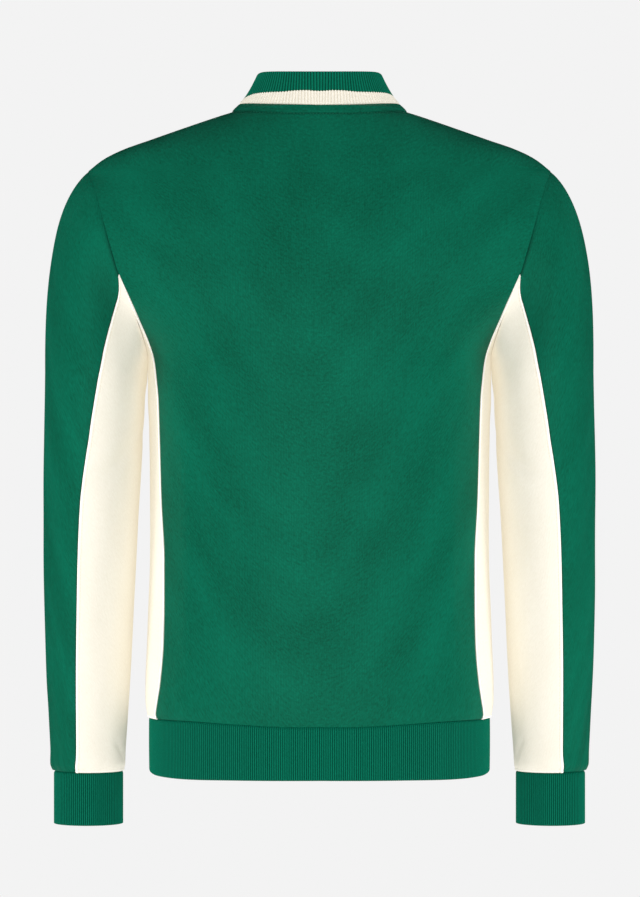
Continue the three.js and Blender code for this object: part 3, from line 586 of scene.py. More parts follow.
backPanel = {
    "flat": (0.43, 0.64), "area": 0.24, "columns": 118,
    # x and height of one end, x and height of the other, bow, width and height of the swell
    "creases": [
        (132, -330, 128, -590, 3, 9, 1.0), (116, -300, 112, -575, -3, 8, -1.1),
        (-131, -345, -129, -580, -3, 9, 0.9), (-117, -310, -111, -590, 3, 8, -1.0),
        (148, -190, 128, -330, 6, 14, -0.9), (-149, -185, -127, -320, -6, 13, -0.8),
        (60, -420, 66, -600, 2, 16, 0.5), (-48, -460, -58, -600, -2, 18, 0.5),
        (20, -480, 14, -604, 0, 15, -0.4), (90, -520, 84, -604, 2, 8, -0.5),
        (-88, -540, -92, -604, 0, 8, -0.5), (190, -110, 150, -150, -4, 10, -0.7),
        (-188, -116, -150, -160, 4, 10, -0.7),
    ],
}


def backPoint(turn, height):
    # a place on the back: turn -pi/2 to pi/2, from the neck seam down
    joinHeight = body["joinHeight"]
    if height <= joinHeight:
        return bodyPoint(greenEdge(height) * sin(turn), height, 1)
    share = (body["neckSideHeight"] - height) / (body["neckSideHeight"] - joinHeight)
    x = greenEdge(mix(body["neckSideHeight"], joinHeight, share)) * sin(turn)
    return bodyPoint(x, mix(neckline(abs(turn)).z, joinHeight, share), 1)


def panelLevels(spacing):
    # outer heights of the rows: close together at the neck and the hem
    top = [mix(body["neckSideHeight"], body["joinHeight"], share) for share in cloth["neckShares"]]
    close = [body["joinHeight"] - cloth["closeStep"] * i for i in range(cloth["closeRows"])]
    return top + close + seamLevels(cloth["evenFrom"], body["hemSeam"], spacing, False)


def tapeRelief(place):
    # the tape inside the neck seam makes a low band, held down by a needle line
    if place["top"] >= neckTape["reach"]:
        return 0
    away = neckAway(place["point"])
    return (neckTape["proud"] * fade(*neckTape["end"], away)
            - neckTape["pull"] * bump(away - neckTape["needleAway"], neckTape["width"]))


def sideSeam(edge, height):
    # the green's side of the armhole, and below it of the seam with the cream
    if height > body["sideSeamTop"]:
        return 0
    return overSeam(edge) * armholeDepth(height) if height > body["apexHeight"] else greenSeam(edge)


def backRelief(place):
    point, edge = place["point"], place["edge"]
    lift = creaseLift(backPanel["creases"], point.x, point.z)
    lift += softWaves(point, cloth["waveSize"], cloth["waveHeight"], 3)
    lift *= smooth(0, cloth["calmSide"], edge) * smooth(0, cloth["calmHem"], place["bottom"])
    lift += tapeRelief(place)
    return lift + sideSeam(edge, point.z) - 0.2 * fade(0, 1, place["top"]) + greenSeam(place["bottom"])


def greenShade(place):
    # dark in the grooves of the seams and of the neck's needle line
    height = place["point"].z
    side = 0 if height > body["sideSeamTop"] else darkLine(place["edge"])
    if height > body["apexHeight"]:
        side *= armholeDepth(height)
    groove = 0
    if place["top"] < neckTape["reach"]:
        off = neckAway(place["point"]) - neckTape["needleAway"]
        groove = neckTape["shade"] * bump(off, neckTape["width"])
    return clamp(side + darkLine(place["bottom"], 1.3) + groove, 0, 1)


def neckStitches(rows, moved):
    # the path of the neck tape's needle line, where it crosses each column of the grid
    needleAway = neckTape["needleAway"]
    path = []
    for column in range(len(rows[0])):
        away = [neckAway(row[column]) for row in rows[:neckTape["rows"]]]
        row = next((i for i, (a, b) in enumerate(zip(away, away[1:])) if a < needleAway <= b), None)
        if row is not None:
            share = (needleAway - away[row]) / (away[row + 1] - away[row])
            (a, normalA), (b, normalB) = moved[row][column], moved[row + 1][column]
            path.append((a.lerp(b, share), normalA.lerp(normalB, share)))
    return path


def makeBack():
    # seen from behind, the wearer's left is on the left
    rows = [evenRow(lambda s: backPoint(mix(pi / 2, -pi / 2, s), height), backPanel["columns"])
            for height in panelLevels(cloth["spacing"])]
    bm, moved = clothGrid(rows, backRelief, paintedLightAt=greenShade)
    wallCloth(bm)
    piece = finishPiece("backPanel", bm, [greenCloth], "back")
    stitchAlong(greenStitches, neckStitches(rows, moved), stitch["neckSunk"])


makeBack()
print("back made")

frontPanel = {
    # as for the back, with x measured outwards from the middle on both fronts
    "flat": (0.24, 0.62), "area": 0.125, "columns": 44,
    "leftCreases": [
        (122, -320, 118, -580, 4, 10, 1.0), (104, -300, 102, -560, -3, 9, -1.0),
        (60, -430, 66, -600, 3, 14, 0.6), (32, -500, 30, -604, 0, 9, -0.5),
        (150, -190, 120, -320, 6, 13, -0.9), (182, -118, 140, -168, -4, 10, -0.8),
        (30, -110, 80, -190, 6, 14, -0.6), (86, -530, 82, -604, 1, 8, -0.5),
    ],
    "rightCreases": [
        (124, -340, 119, -590, 3, 9, 0.9), (106, -310, 99, -570, -4, 10, -1.1),
        (54, -450, 60, -600, 2, 15, 0.5), (36, -520, 33, -604, 0, 8, -0.5),
        (151, -185, 124, -335, 5, 14, -0.8), (180, -124, 142, -160, -4, 11, -0.7),
        (28, -120, 72, -180, 5, 12, -0.6), (92, -545, 90, -604, 1, 9, -0.5),
    ],
}
zipShare = body["zipOpening"] / body["neckHalfWidth"]


def frontPoint(turn, height):
    # a place on a front: turn from the zip to pi/2 at its side
    def flatPlace(outerHeight):
        level = mix(outerHeight, zipSideHeight(outerHeight), max(0, cos(turn)) ** body["neckDip"])
        x = mix(body["zipOpening"], greenEdge(outerHeight), (sin(turn) - zipShare) / (1 - zipShare))
        return x, level

    joinHeight = body["joinHeight"]
    if height <= joinHeight:
        x, level = flatPlace(height)
    else:
        share = (body["neckSideHeight"] - height) / (body["neckSideHeight"] - joinHeight)
        x, level = flatPlace(joinHeight)
        foot = neckline(pi - turn)
        # the shoulder's edge is the same line as the back's
        bulge = greenEdge(height) - mix(body["neckHalfWidth"], greenEdge(joinHeight), share)
        x, level = mix(foot.x, x, share) + bulge * sin(turn) ** 4, mix(foot.z, level, share)
    return bodyPoint(x, level, -1)


def makeFront(side):
    name = sideName[side]
    creases = frontPanel[name + "Creases"]

    def relief(place):
        point = place["point"]
        zipAway, sideAway = place["left"], place["right"]
        if side < 0:
            zipAway, sideAway = sideAway, zipAway
        lift = creaseLift(creases, abs(point.x), point.z)
        lift += softWaves(point, cloth["waveSize"], cloth["waveHeight"], 9 + side)
        lift *= smooth(0, cloth["calmSide"], place["edge"]) * smooth(0, cloth["calmHem"], place["bottom"])
        lift += sideSeam(sideAway, point.z)
        lift += tapeRelief(place)
        # the edge is folded under beside the zip and stitched down
        lift -= 0.9 * fade(0, 1.2, zipAway) + 0.35 * bump(zipAway - seam["steps"][needle], 0.5)
        return lift - 0.2 * fade(0, 1, place["top"]) + greenSeam(place["bottom"])

    # seen from the front, the left front runs from the zip to its side
    rows = [evenRow(lambda s: frontPoint(mix(asin(zipShare), pi / 2, s), height), frontPanel["columns"])
            for height in panelLevels(cloth["frontSpacing"])]
    if side < 0:
        rows = flipped(rows)
    bm, moved = clothGrid(rows, relief, 0 if side > 0 else 1, paintedLightAt=greenShade)
    wallCloth(bm)
    piece = finishPiece(f"{name}Front", bm, [greenCloth], f"front_{name}")
    column = needle if side > 0 else len(rows[0]) - 1 - needle
    stitchAlong(greenStitches, [row[column] for row in moved[1:]])
    stitchAlong(greenStitches, neckStitches(rows, moved), stitch["neckSunk"])


for side in (1, -1):
    makeFront(side)
print("fronts made")

sidePanel = {
    "flat": (0.17, 0.45), "area": 0.036, "columns": 9, "calmSeam": 14, "calmArmhole": 20,
    "needleFrom": 14,           # the row below the point at which the needle line starts
    # distance behind the side line and height, as for the back
    "creases": [
        (8, -300, 12, -440, 2, 7, 0.8), (-10, -330, -6, -520, -2, 8, -0.7),
        (14, -470, 10, -600, 1, 6, 0.6), (-16, -480, -12, -600, 1, 7, 0.6),
    ],
}


def makeSidePanel(side):
    # half of it is on the back and half on the front, and they meet at the side line
    name = sideName[side]
    horn = seamLevels(body["apexHeight"], body["underarmHeight"], cloth["spacing"])
    strip = seamLevels(body["underarmHeight"], body["hemSeam"], cloth["spacing"])
    whole = bmesh.new()
    for facing in (1, -1):
        outerLeft = facing == side      # the side line is on the left, seen from outside

        def panelRow(height):
            halfWidth = sectionHalfWidth(height, facing)
            inner = asin(min(1, panelHalfWidth(height) / halfWidth))
            outer = pi / 2
            if height > body["underarmHeight"]:
                outer = asin(min(1, armholeHalfWidth(height) / halfWidth))
            start, end = (outer, inner) if facing > 0 else (inner, outer)
            return evenRow(lambda s: bodyPoint(halfWidth * sin(mix(start, end, s)), height, facing),
                           sidePanel["columns"])

        def edges(place):
            # distances from the side line and from the seam with the green
            return (place["left"], place["right"]) if outerLeft else (place["right"], place["left"])

        def relief(place):
            point = place["point"]
            outer, inner = edges(place)
            high = max(0, point.z - body["underarmHeight"])
            low = max(0, body["underarmHeight"] - point.z)
            armholeAway = outer if high else hypot(outer, low)
            lift = creaseLift(sidePanel["creases"], facing * outer, point.z)
            calm = sidePanel["calmSeam"]
            lift *= (smooth(0, calm, inner) * smooth(0, calm, place["bottom"])
                     * smooth(0, sidePanel["calmArmhole"], armholeAway))
            return lift + creamSeam(inner) - 0.3 * fade(0, 1, armholeAway) + creamSeam(place["bottom"])

        # painted highlight on the cream's rolled edges, at the seam with the green and at the hem
        def sidePanelHighlight(place):
            return max(paintedCreamHighlight(edges(place)[1]), paintedCreamHighlight(place["bottom"]))

        rows = [panelRow(height) for height in horn + strip[1:]]
        if side < 0:
            rows = flipped(rows)
        bm, moved = clothGrid(rows, relief, 0 if outerLeft else 1, paintedLightAt=sidePanelHighlight)
        column = len(rows[0]) - 1 - needle if outerLeft else needle
        stitchAlong(creamStitches, [row[column] for row in moved[sidePanel["needleFrom"]:]])
        part = bpy.data.meshes.new("part")
        bm.to_mesh(part)
        bm.free()
        whole.from_mesh(part)
        bpy.data.meshes.remove(part)
    wallCloth(whole)
    piece = finishPiece(f"{name}SidePanel", whole, [creamCloth], f"side_panel_{name}")


for side in (1, -1):
    makeSidePanel(side)
print("side panels made")

sleeve = {
    "ringHeight": -262, "cuffSeam": -661,
    "startPull": 0.83, "endPull": 0.9, "dropFrom": 95, "dropTo": 150,
    # height, middle across, middle forward, half width, half depth
    "sections": [
        (-262, 223.8, 3, 49.8, 73), (-289, 224.4, 3, 49.8, 70), (-349, 226.5, 3, 49, 63),
        (-409, 228.5, 2, 47, 58), (-489, 230.3, -2, 44.8, 51), (-549, 231.2, -6, 42.7, 45),
        (-609, 232.2, -11, 39.8, 38), (-640, 232.7, -14, 38, 34.5), (-653, 232.8, -15, 37.4, 33),
        (-661, 232.2, -15.5, 35.2, 29.5),
    ],
    # degrees round from the outside at which the cream begins: by share of the cap, then by height
    "capSeam": [
        (0, 99.1), (0.02, 101.2), (0.05, 103.9), (0.1, 106.9), (0.17, 109), (0.21, 109.6),
        (0.335, 110.2), (0.458, 109.7), (0.575, 108.3), (0.68, 106.6), (0.784, 104.5), (0.884, 102.6),
        (1, 100.2),
    ],
    "seamTurns": [
        (-262, 100.2), (-270, 98.5), (-290, 95), (-310, 91.8), (-330, 89.3), (-348, 86.5), (-388, 81.5),
        (-448, 79), (-486, 78.3), (-566, 76.5), (-628, 76), (-642, 75.6), (-652, 74), (-661, 72.2),
    ],
    "capShares": [0, 0.002, 0.004, 0.007, 0.01, 0.014, 0.018, 0.023, 0.03, 0.04, 0.055, 0.075]
                 + [0.1 + 0.03 * i for i in range(30)] + [1],
    "elbowHeight": -349, "elbowTurn": 130, "elbowSlant": 0.55,
    "elbowDepth": 3.2, "elbowReach": 9, "elbowSpread": 38,
    "flat": (0.245, 0.60), "area": 0.112, "columns": 60,
    "underFlat": (0.21, 0.46), "underArea": 0.066, "underColumns": 44,
    "waveSize": 55, "calmSide": 16, "calmCuff": 8, "calmTop": 20,   # as for the cloth of the body
    "pucker": 1.1, "crowded": 2.2,      # height of the gathers at the cuff and of the cloth under the arm
    # millimetres behind the middle of the piece and height, as for the back
    "leftCreases": [
        (34, -300, 44, -470, 4, 8, -0.9), (58, -330, 52, -520, -3, 7, 0.9),
        (20, -120, 52, -210, 8, 12, -0.8), (12, -420, 18, -600, -3, 10, 0.7),
        (-30, -310, -44, -480, 3, 9, -0.9), (-56, -340, -50, -520, -3, 7, 0.8),
        (-18, -125, -48, -215, -8, 12, -0.7), (30, -560, 34, -655, 0, 5, 0.8),
        (-28, -570, -32, -655, 0, 5, 0.7), (4, -580, 2, -655, 0, 5, -0.5),
    ],
    "rightCreases": [
        (36, -310, 42, -490, 3, 8, -0.9), (55, -340, 54, -530, -2, 7, 0.8),
        (18, -116, 50, -200, 7, 11, -0.8), (16, -430, 12, -590, 3, 10, 0.7),
        (-32, -300, -40, -470, -3, 9, -0.8), (-54, -350, -51, -500, 2, 7, 0.8),
        (-20, -130, -46, -205, -7, 12, -0.7), (26, -575, 30, -655, 0, 5, 0.7),
        (-33, -560, -30, -655, 0, 6, 0.8), (-4, -590, -6, -655, 0, 5, -0.5),
    ],
    "leftUnderCreases": [
        (20, -300, 62, -345, 4, 7, -1.2), (16, -322, 58, -372, -3, 6, 1.0),
        (30, -395, 55, -430, 3, 7, -0.8), (46, -470, 50, -600, 2, 7, 0.7),
        (22, -500, 18, -640, -2, 8, -0.7), (-20, -300, -60, -348, -4, 7, -1.1),
        (-16, -326, -56, -370, 3, 6, 0.9), (-46, -460, -50, -590, -2, 7, 0.7),
        (-24, -480, -20, -640, 2, 8, -0.7), (28, -629, 9, -650, 2, 2.4, -2.2),
        (-26, -627, -10, -648, -2, 2.6, -1.5),
    ],
    "rightUnderCreases": [
        (18, -304, 60, -340, 3, 7, -1.1), (18, -328, 56, -376, -3, 6, 1.0),
        (28, -400, 58, -440, 3, 7, -0.8), (48, -480, 46, -610, 2, 7, 0.7),
        (20, -490, 22, -630, -2, 8, -0.7), (-22, -306, -58, -344, -4, 7, -1.1),
        (-18, -330, -58, -378, 3, 6, 0.9), (-44, -450, -48, -600, -2, 7, 0.7),
        (-22, -500, -24, -640, 2, 8, -0.6), (27, -626, 10, -651, 2, 2.4, -1.9),
        (-30, -630, -12, -650, -2, 2.6, -1.0),
    ],
}
sleeveAcross, sleeveForward, sleeveHalfWidth, sleeveHalfDepth = (
    tableCurve([(row[0], row[i]) for row in sleeve["sections"]]) for i in range(1, 5))
capSeamTurn = tableCurve(sleeve["capSeam"])
undersleeveTurn = tableCurve(sleeve["seamTurns"])
apexTurn = armholeTurn(body["apexHeight"])
shoulderSlope = Vector((0.76, 0, -0.65))    # the way in which the cloth runs out over the shoulder


def armholeOutward(turn, side):
    # the way in which the body's cloth runs out across the armhole
    measuredFrom, step = 0.6, 0.01
    safeTurn = clamp(turn, measuredFrom, pi - 0.1)
    here = armhole(safeTurn, side)
    along = armhole(safeTurn + step, side) - armhole(safeTurn - step, side)
    across = bodyPoint(here.x - 3, here.z, side) - bodyPoint(here.x - 1, here.z, side)
    outward = along.cross(across).cross(along).normalized()
    if outward.x < 0:
        outward.negate()
    return outward.lerp(shoulderSlope, 1 - smooth(0, measuredFrom, turn)).normalized()


def sleeveRing(turn, side, height):
    return Vector((sleeveAcross(height) + sleeveHalfWidth(height) * cos(turn),
                   sleeveForward(height) + side * sleeveHalfDepth(height) * sin(turn), height))


def sleeveCapPoint(turn, side, share):
    # leaves the armhole along the body's cloth and bends down to the first level section
    start = armhole(turn, side)
    end = sleeveRing(turn, side, sleeve["ringHeight"])
    drop = smooth(sleeve["dropFrom"], sleeve["dropTo"], turn * 180 / pi)
    outward = (armholeOutward(turn, side) * (1 - drop) - Vector((0, 0, drop))).normalized()
    chord = (end - start).length
    s = share
    return (start * ((1 + 2 * s) * (1 - s) ** 2) + end * (s * s * (3 - 2 * s))
            + outward * (sleeve["startPull"] * chord * s * (1 - s) ** 2)
            + Vector((0, 0, -sleeve["endPull"] * chord)) * (s * s * (s - 1)))


def driftedTurn(turn, seamDegrees):
    # turns drift along the sleeve so that the seam stays on a grid line
    seamTurn = radians(seamDegrees)
    if turn <= apexTurn:
        return turn * seamTurn / apexTurn
    return pi - (pi - turn) * (pi - seamTurn) / (pi - apexTurn)


def elbowCrease(turn, height):
    along = turn * 180 / pi - sleeve["elbowTurn"]
    off = height - sleeve["elbowHeight"] - sleeve["elbowSlant"] * along
    return sleeve["elbowDepth"] * bump(off, sleeve["elbowReach"]) * bump(along, sleeve["elbowSpread"])


def sleevePoint(turn, side, share, height):
    # share is the place in the cap, and height the level under it
    if share < 1:
        return sleeveCapPoint(driftedTurn(turn, capSeamTurn(share)), side, share)
    place = driftedTurn(turn, undersleeveTurn(height))
    dent = elbowCrease(place, height)
    return sleeveRing(place, side, height) + Vector((-cos(place), -side * sin(place), 0)) * dent


def makeSleeve(side, under):
    name = sideName[side]
    creases = sleeve[name + ("UnderCreases" if under else "Creases")]

    def outline(s):
        # the turn and side at a share of the way round, from the left edge seen from outside
        if under:
            return mix(apexTurn, pi, 1 - abs(2 * s - 1)), 1 if s < 0.5 else -1
        return abs(2 * s - 1) * apexTurn, -1 if s < 0.5 else 1

    def relief(place):
        point = place["point"]
        behind = (place["left"] - place["right"]) / 2 * side * (-1 if under else 1)
        edge, top, bottom = place["edge"], place["top"], place["bottom"]
        lift = creaseLift(creases, behind, point.z)
        lift += softWaves(point, sleeve["waveSize"], cloth["waveHeight"], 20 + side + 5 * under)
        lift *= (smooth(0, sleeve["calmSide"], edge) * smooth(0, sleeve["calmCuff"], bottom)
                 * smooth(0, sleeve["calmTop"], top))
        # gathered into the cuff
        pucker = noise.noise(Vector((behind / 5.5, side * 7, point.z / 60)))
        lift += sleeve["pucker"] * pucker * smooth(0, 1.5, bottom) * fade(3, 24, bottom)
        if under:
            # the cloth crowds together under the arm, close to the body
            lift += sleeve["crowded"] * bump(behind, 34) * smooth(0, 9, top) * fade(20, 44, top)
            return lift + creamSeam(edge) - 0.4 * fade(0, 1.2, top) + creamSeam(bottom)
        return lift + greenSeam(edge) + underSeam(top) * armholeDepth(point.z) + greenSeam(bottom)

    def seamShade(place):
        edge, bottom = place["edge"], place["bottom"]
        if under:
            # the cream undersleeve gets a painted highlight on its rolled edges at the seams and the cuff
            return max(paintedCreamHighlight(edge), 0.35 * paintedCreamHighlight(bottom))
        armholeShade = 0.6 * fade(0, 8, place["top"]) * armholeDepth(place["point"].z)
        return clamp(darkLine(edge) + darkLine(bottom) + armholeShade, 0, 1)

    columns = sleeve["underColumns" if under else "columns"]
    levels = seamLevels(sleeve["ringHeight"], sleeve["cuffSeam"], cloth["sleeveSpacing"], False)[1:]
    rows = [evenRow(lambda s: sleevePoint(*outline(s), share, sleeve["ringHeight"]), columns)
            for share in sleeve["capShares"]]
    rows += [evenRow(lambda s: sleevePoint(*outline(s), 1, height), columns) for height in levels]
    if side < 0:
        rows = flipped(rows)
    bm, moved = clothGrid(rows, relief, paintedLightAt=seamShade)
    wallCloth(bm)
    kind, material, slot, flat, area = (
        ("undersleeve", creamCloth, "cream_interlock", "underFlat", "underArea") if under
        else ("sleeve", greenCloth, "green_interlock", "flat", "area"))
    piece = finishPiece(name + kind.capitalize(), bm, [material], f"{kind}_{name}")
    if under:
        for column in (needle, len(rows[0]) - 1 - needle):
            stitchAlong(creamStitches, [row[column] for row in moved])


for side in (1, -1):
    makeSleeve(side, False)
    makeSleeve(side, True)
print("sleeves made")

# ribs of the collar, the hem band and the cuffs
rib = {
    # furrow over the cloth, ribs over the furrow, and the inside
    "proud": 0.5, "height": 0.9, "inside": -1.5,
    # grid spaces to a rib, and how far and in how many spaces the ribs stray
    "spaces": 6, "wander": 0.2, "wanderLength": 46,
    # height of the stripe's last row, and how far its edge follows the ribs
    "stripe": 15, "stripeStep": 0.7,
}
collar = {
    "halfWidth": 61.5, "backDepth": 54.5, "frontDepth": 69, "backHeight": 33.5, "sideHeight": 36.5,
    "frontHeight": -42, "power": 2.35, "lean": 0.7, "sideDip": 2.6, "pitch": 2.85, "tall": 35,
    "zipGap": 0.5,      # from the middle of the zip's opening
    # degrees from the middle of the back and the share of the height at which the cream stripe ends
    "stripe": [
        (0, 0.4), (3, 0.403), (9, 0.42), (15, 0.415), (30, 0.36), (45, 0.33), (60, 0.28), (75, 0.19),
        (90, 0.13), (110, 0.2), (135, 0.33), (160, 0.41), (180, 0.42),
    ],
    "flat": (0.42, 0.04),
}
hemBand = {
    "halfWidth": (168.9, 168.7), "backDepth": (110, 108), "frontDepth": (111, 109), "fullness": 0.2,
    "pitch": 2.1, "zipGap": 0.3, "flat": (0.96, 0.054),
}
cuff = {
    "across": 232.1, "forward": -15.5, "halfWidth": 33.4, "halfDepth": 26.5, "bottom": -713.8, "pitch": 2.0,
    "flat": (0.195, 0.054),
}


def collarPoint(turn, share):
    front = turn > pi / 2
    foot = neckline(turn)
    power = 2 / collar["power"]
    topX = collar["halfWidth"] * max(0, sin(turn)) ** power
    topY = (-collar["frontDepth"] if front else collar["backDepth"]) * abs(cos(turn)) ** power
    if front:
        topZ = mix(collar["sideHeight"], collar["frontHeight"], max(0, -cos(turn)) ** body["neckDip"])
    else:
        topZ = mix(collar["backHeight"], collar["sideHeight"], sin(turn) ** 2)
    topZ -= collar["sideDip"] * bump(turn - pi / 2, 0.3)
    inward = max(0, share) ** collar["lean"]
    return Vector((mix(foot.x, topX, inward), mix(foot.y, topY, inward), mix(foot.z + 0.7, topZ, share)))


def hemPoint(turn, share):
    height = mix(body["hemSeam"], body["hemBottom"], share)
    full = hemBand["fullness"] * sin(pi * clamp(share, 0, 1))
    depths = hemBand["backDepth"] if cos(turn) > 0 else hemBand["frontDepth"]
    power = 2 / body["power"]
    x = (mix(*hemBand["halfWidth"], share) + full) * abs(sin(turn)) ** power * (1 if sin(turn) > 0 else -1)
    y = (mix(*depths, share) + full) * abs(cos(turn)) ** power * (1 if cos(turn) > 0 else -1)
    height += seamRise(x, cos(turn)) * clamp(1 - share, 0, 1) - hemEdgeDrop(abs(x)) * clamp(share, 0, 1) ** 2
    return Vector((x, y, height))


def cuffPoint(turn, share):
    return Vector((cuff["across"] - cuff["halfWidth"] * cos(turn),
                   cuff["forward"] + cuff["halfDepth"] * sin(turn),
                   mix(sleeve["cuffSeam"], cuff["bottom"], share)))


def evenMarks(curve, spaces):
    # marks that divide a curve into equal lengths, and its length
    return marksAlong(curve, 900, lambda length: [length * k / spaces for k in range(spaces + 1)])


def bandProfile(tall, striped):
    # millimetres from the seam, millimetres outwards, and how much rib shows; with it the stripe's last row
    high = rib["proud"]
    middle, radius = (high + rib["inside"]) / 2 + 0.15, (high - rib["inside"]) / 2
    top = tall - radius
    outside = [(-1.4, -1.1, 0.1), (0, -0.5, 0.3), (0.7, 0.1, 0.6), (1.6, high - 0.1, 0.9), (3, high, 1)]
    marks = [6, 9.5, 13, rib["stripe"], 18, 22, 26, 29.5] if striped else [6, 11, 19, 27, 35, 43, 47]
    outside += [(m, high, 1) for m in marks if m < top - 2] + [(top, high, 1)]
    turns = [pi / 6, pi / 3, pi / 2, 2 * pi / 3, 5 * pi / 6]
    fold = [(top + radius * sin(turn), middle + radius * cos(turn), 1) for turn in turns]
    inside = [(m, rib["inside"], 0.5) for m in (top, 0.7 * top, 0.35 * top, 0)]
    return outside + fold + inside, 8 if striped else 0


def makeBand(name, base, sizes, tall, materials, node, centre=(0, 0), closed=False, mirrored=False,
             stripeAt=None):
    # a rib band: doubled knit, folded at its free edge; base(mark, share) is a place on it
    length = evenMarks(lambda m: base(m, 0.5), 4)[1]
    ribs = round(length / sizes["pitch"])
    marks = evenMarks(lambda m: base(m, 0.5), ribs * rib["spaces"])[0]
    profile, stripeRows = bandProfile(tall, stripeAt)
    rows = [[] for _ in profile]
    ridges = []
    for k, mark in enumerate(marks):
        # the ribs wander a little; a closed band has to meet itself
        wander = 0 if closed else rib["wander"] * noise.noise(Vector((k / rib["wanderLength"], 3, 0)))
        ridge = abs(sin(pi * (k / rib["spaces"] + wander)))
        ridges.append(ridge)
        for row, (place, out, weight) in zip(rows, profile):
            if stripeAt and 0 < place < tall - 2 and out > 0:
                edge = stripeAt(mark) * tall + rib["stripeStep"] * (ridge - 0.6)
                if place <= rib["stripe"]:
                    place *= edge / rib["stripe"]
                else:
                    place = mix(edge, tall, (place - rib["stripe"]) / (tall - rib["stripe"]))
            share = place / tall
            here = base(mark, share)
            along = base(mark + 0.004, share) - base(mark - 0.004, share)
            up = base(mark, share + 0.02) - base(mark, share - 0.02)
            normal = along.cross(up).normalized()
            if normal.dot(here - Vector((*centre, here.z))) < 0:
                normal.negate()
            raised = ridge if out > rib["inside"] + 0.01 else 1 - ridge
            row.append(here + normal * (out + weight * rib["height"] * raised))
    rows.append([point.copy() for point in rows[0]])
    if mirrored:
        rows = flipped(rows)
        ridges.reverse()
    # each rib's ridge share becomes its tone: painted light on the crowns and painted shade in the furrows
    bm, _ = clothGrid(rows, lambda place: 0, striped=range(stripeRows),
                      paintedLightAt=lambda place: ridges[place["column"]])
    bmesh.ops.remove_doubles(bm, verts=bm.verts, dist=0.005)
    if not closed:
        bmesh.ops.holes_fill(bm, edges=[edge for edge in bm.edges if edge.is_boundary], sides=0)
    bmesh.ops.recalc_face_normals(bm, faces=bm.faces)
    piece = finishPiece(name, bm, materials, node)


collarEnd = pi - asin((body["zipOpening"] + collar["zipGap"]) / collar["halfWidth"])
hemOpening = (body["zipOpening"] + hemBand["zipGap"]) / hemBand["halfWidth"][0]
hemEnd = pi - asin(hemOpening ** (body["power"] / 2))
stripeEnd = tableCurve(collar["stripe"])


def collarBase(mark, share):
    turn = mix(collarEnd, -collarEnd, mark)
    point = collarPoint(min(abs(turn), pi), share)
    return Vector((point.x if turn > 0 else -point.x, point.y, point.z))


def collarStripe(mark):
    # the stripe stays a little wider on the wearer's right
    degrees = mix(collarEnd, -collarEnd, mark) * 180 / pi
    return stripeEnd(abs(degrees)) + 0.09 * bump(degrees + 85, 25)


makeBand("collarRib", collarBase, collar, collar["tall"], [greenRib, creamRib], "collar",
         stripeAt=collarStripe)
makeBand("hemBand", lambda mark, share: hemPoint(mix(hemEnd, -hemEnd, mark), share), hemBand,
         body["hemSeam"] - body["hemBottom"], [greenRib], "hem_band")
for side in (1, -1):
    makeBand(f"{sideName[side]}Cuff", lambda mark, share: cuffPoint(-2 * pi * mark, share), cuff,
             sleeve["cuffSeam"] - cuff["bottom"], [greenRib], f"cuff_{sideName[side]}",
             centre=(cuff["across"], cuff["forward"]), closed=True, mirrored=side < 0)
print("ribs made")
# the tapes lie under the cloth, and the teeth between them
zipSizes = {
    "bottom": -657, "top": -43.5, "boxLength": 12,
    "tapeInner": 3.3, "tapeOuter": 15, "tapeUnder": 1.9, "tapeThickness": 0.8, "tapeRows": 5,
    "tapeFlat": (0.013, 0.62),
    "pitch": 2.5, "toothHalfWidth": 1.95, "toothMiddle": 1.05, "toothHalf": 0.54, "toothBevel": 0.22,
    "toothOut": -0.7, "toothIn": -3.3, "aboveBox": 0.8, "belowTop": 4,
}


def zipPoint(x, height):
    # the zip follows the middle of the front: band, body, then collar
    if height < body["hemSeam"]:
        share = (body["hemSeam"] - height) / (body["hemSeam"] - body["hemBottom"])
        return Vector((x, -mix(*hemBand["frontDepth"], share), height))
    if height < body["neckFrontHeight"]:
        return bodyPoint(x, height, -1)
    share = (height - body["neckFrontHeight"]) / (collar["frontHeight"] - body["neckFrontHeight"])
    turn = pi - asin(abs(x) / mix(body["neckHalfWidth"], collar["halfWidth"], share))
    return Vector((x, collarPoint(turn, share).y, height))


def makeTape(side):
    levels = seamLevels(zipSizes["top"], zipSizes["bottom"], zipSizes["tapeRows"], False, False)
    rows = [[zipPoint(mix(zipSizes["tapeInner"], zipSizes["tapeOuter"], i / 4), height) for i in range(5)]
            for height in levels]
    if side < 0:
        rows = flipped(rows)
    bm, _ = clothGrid(rows, lambda place: -zipSizes["tapeUnder"])
    wallCloth(bm, zipSizes["tapeThickness"])
    piece = finishPiece(f"{sideName[side]}ZipTape", bm, [wovenTape], f"zip_tape_{sideName[side]}")


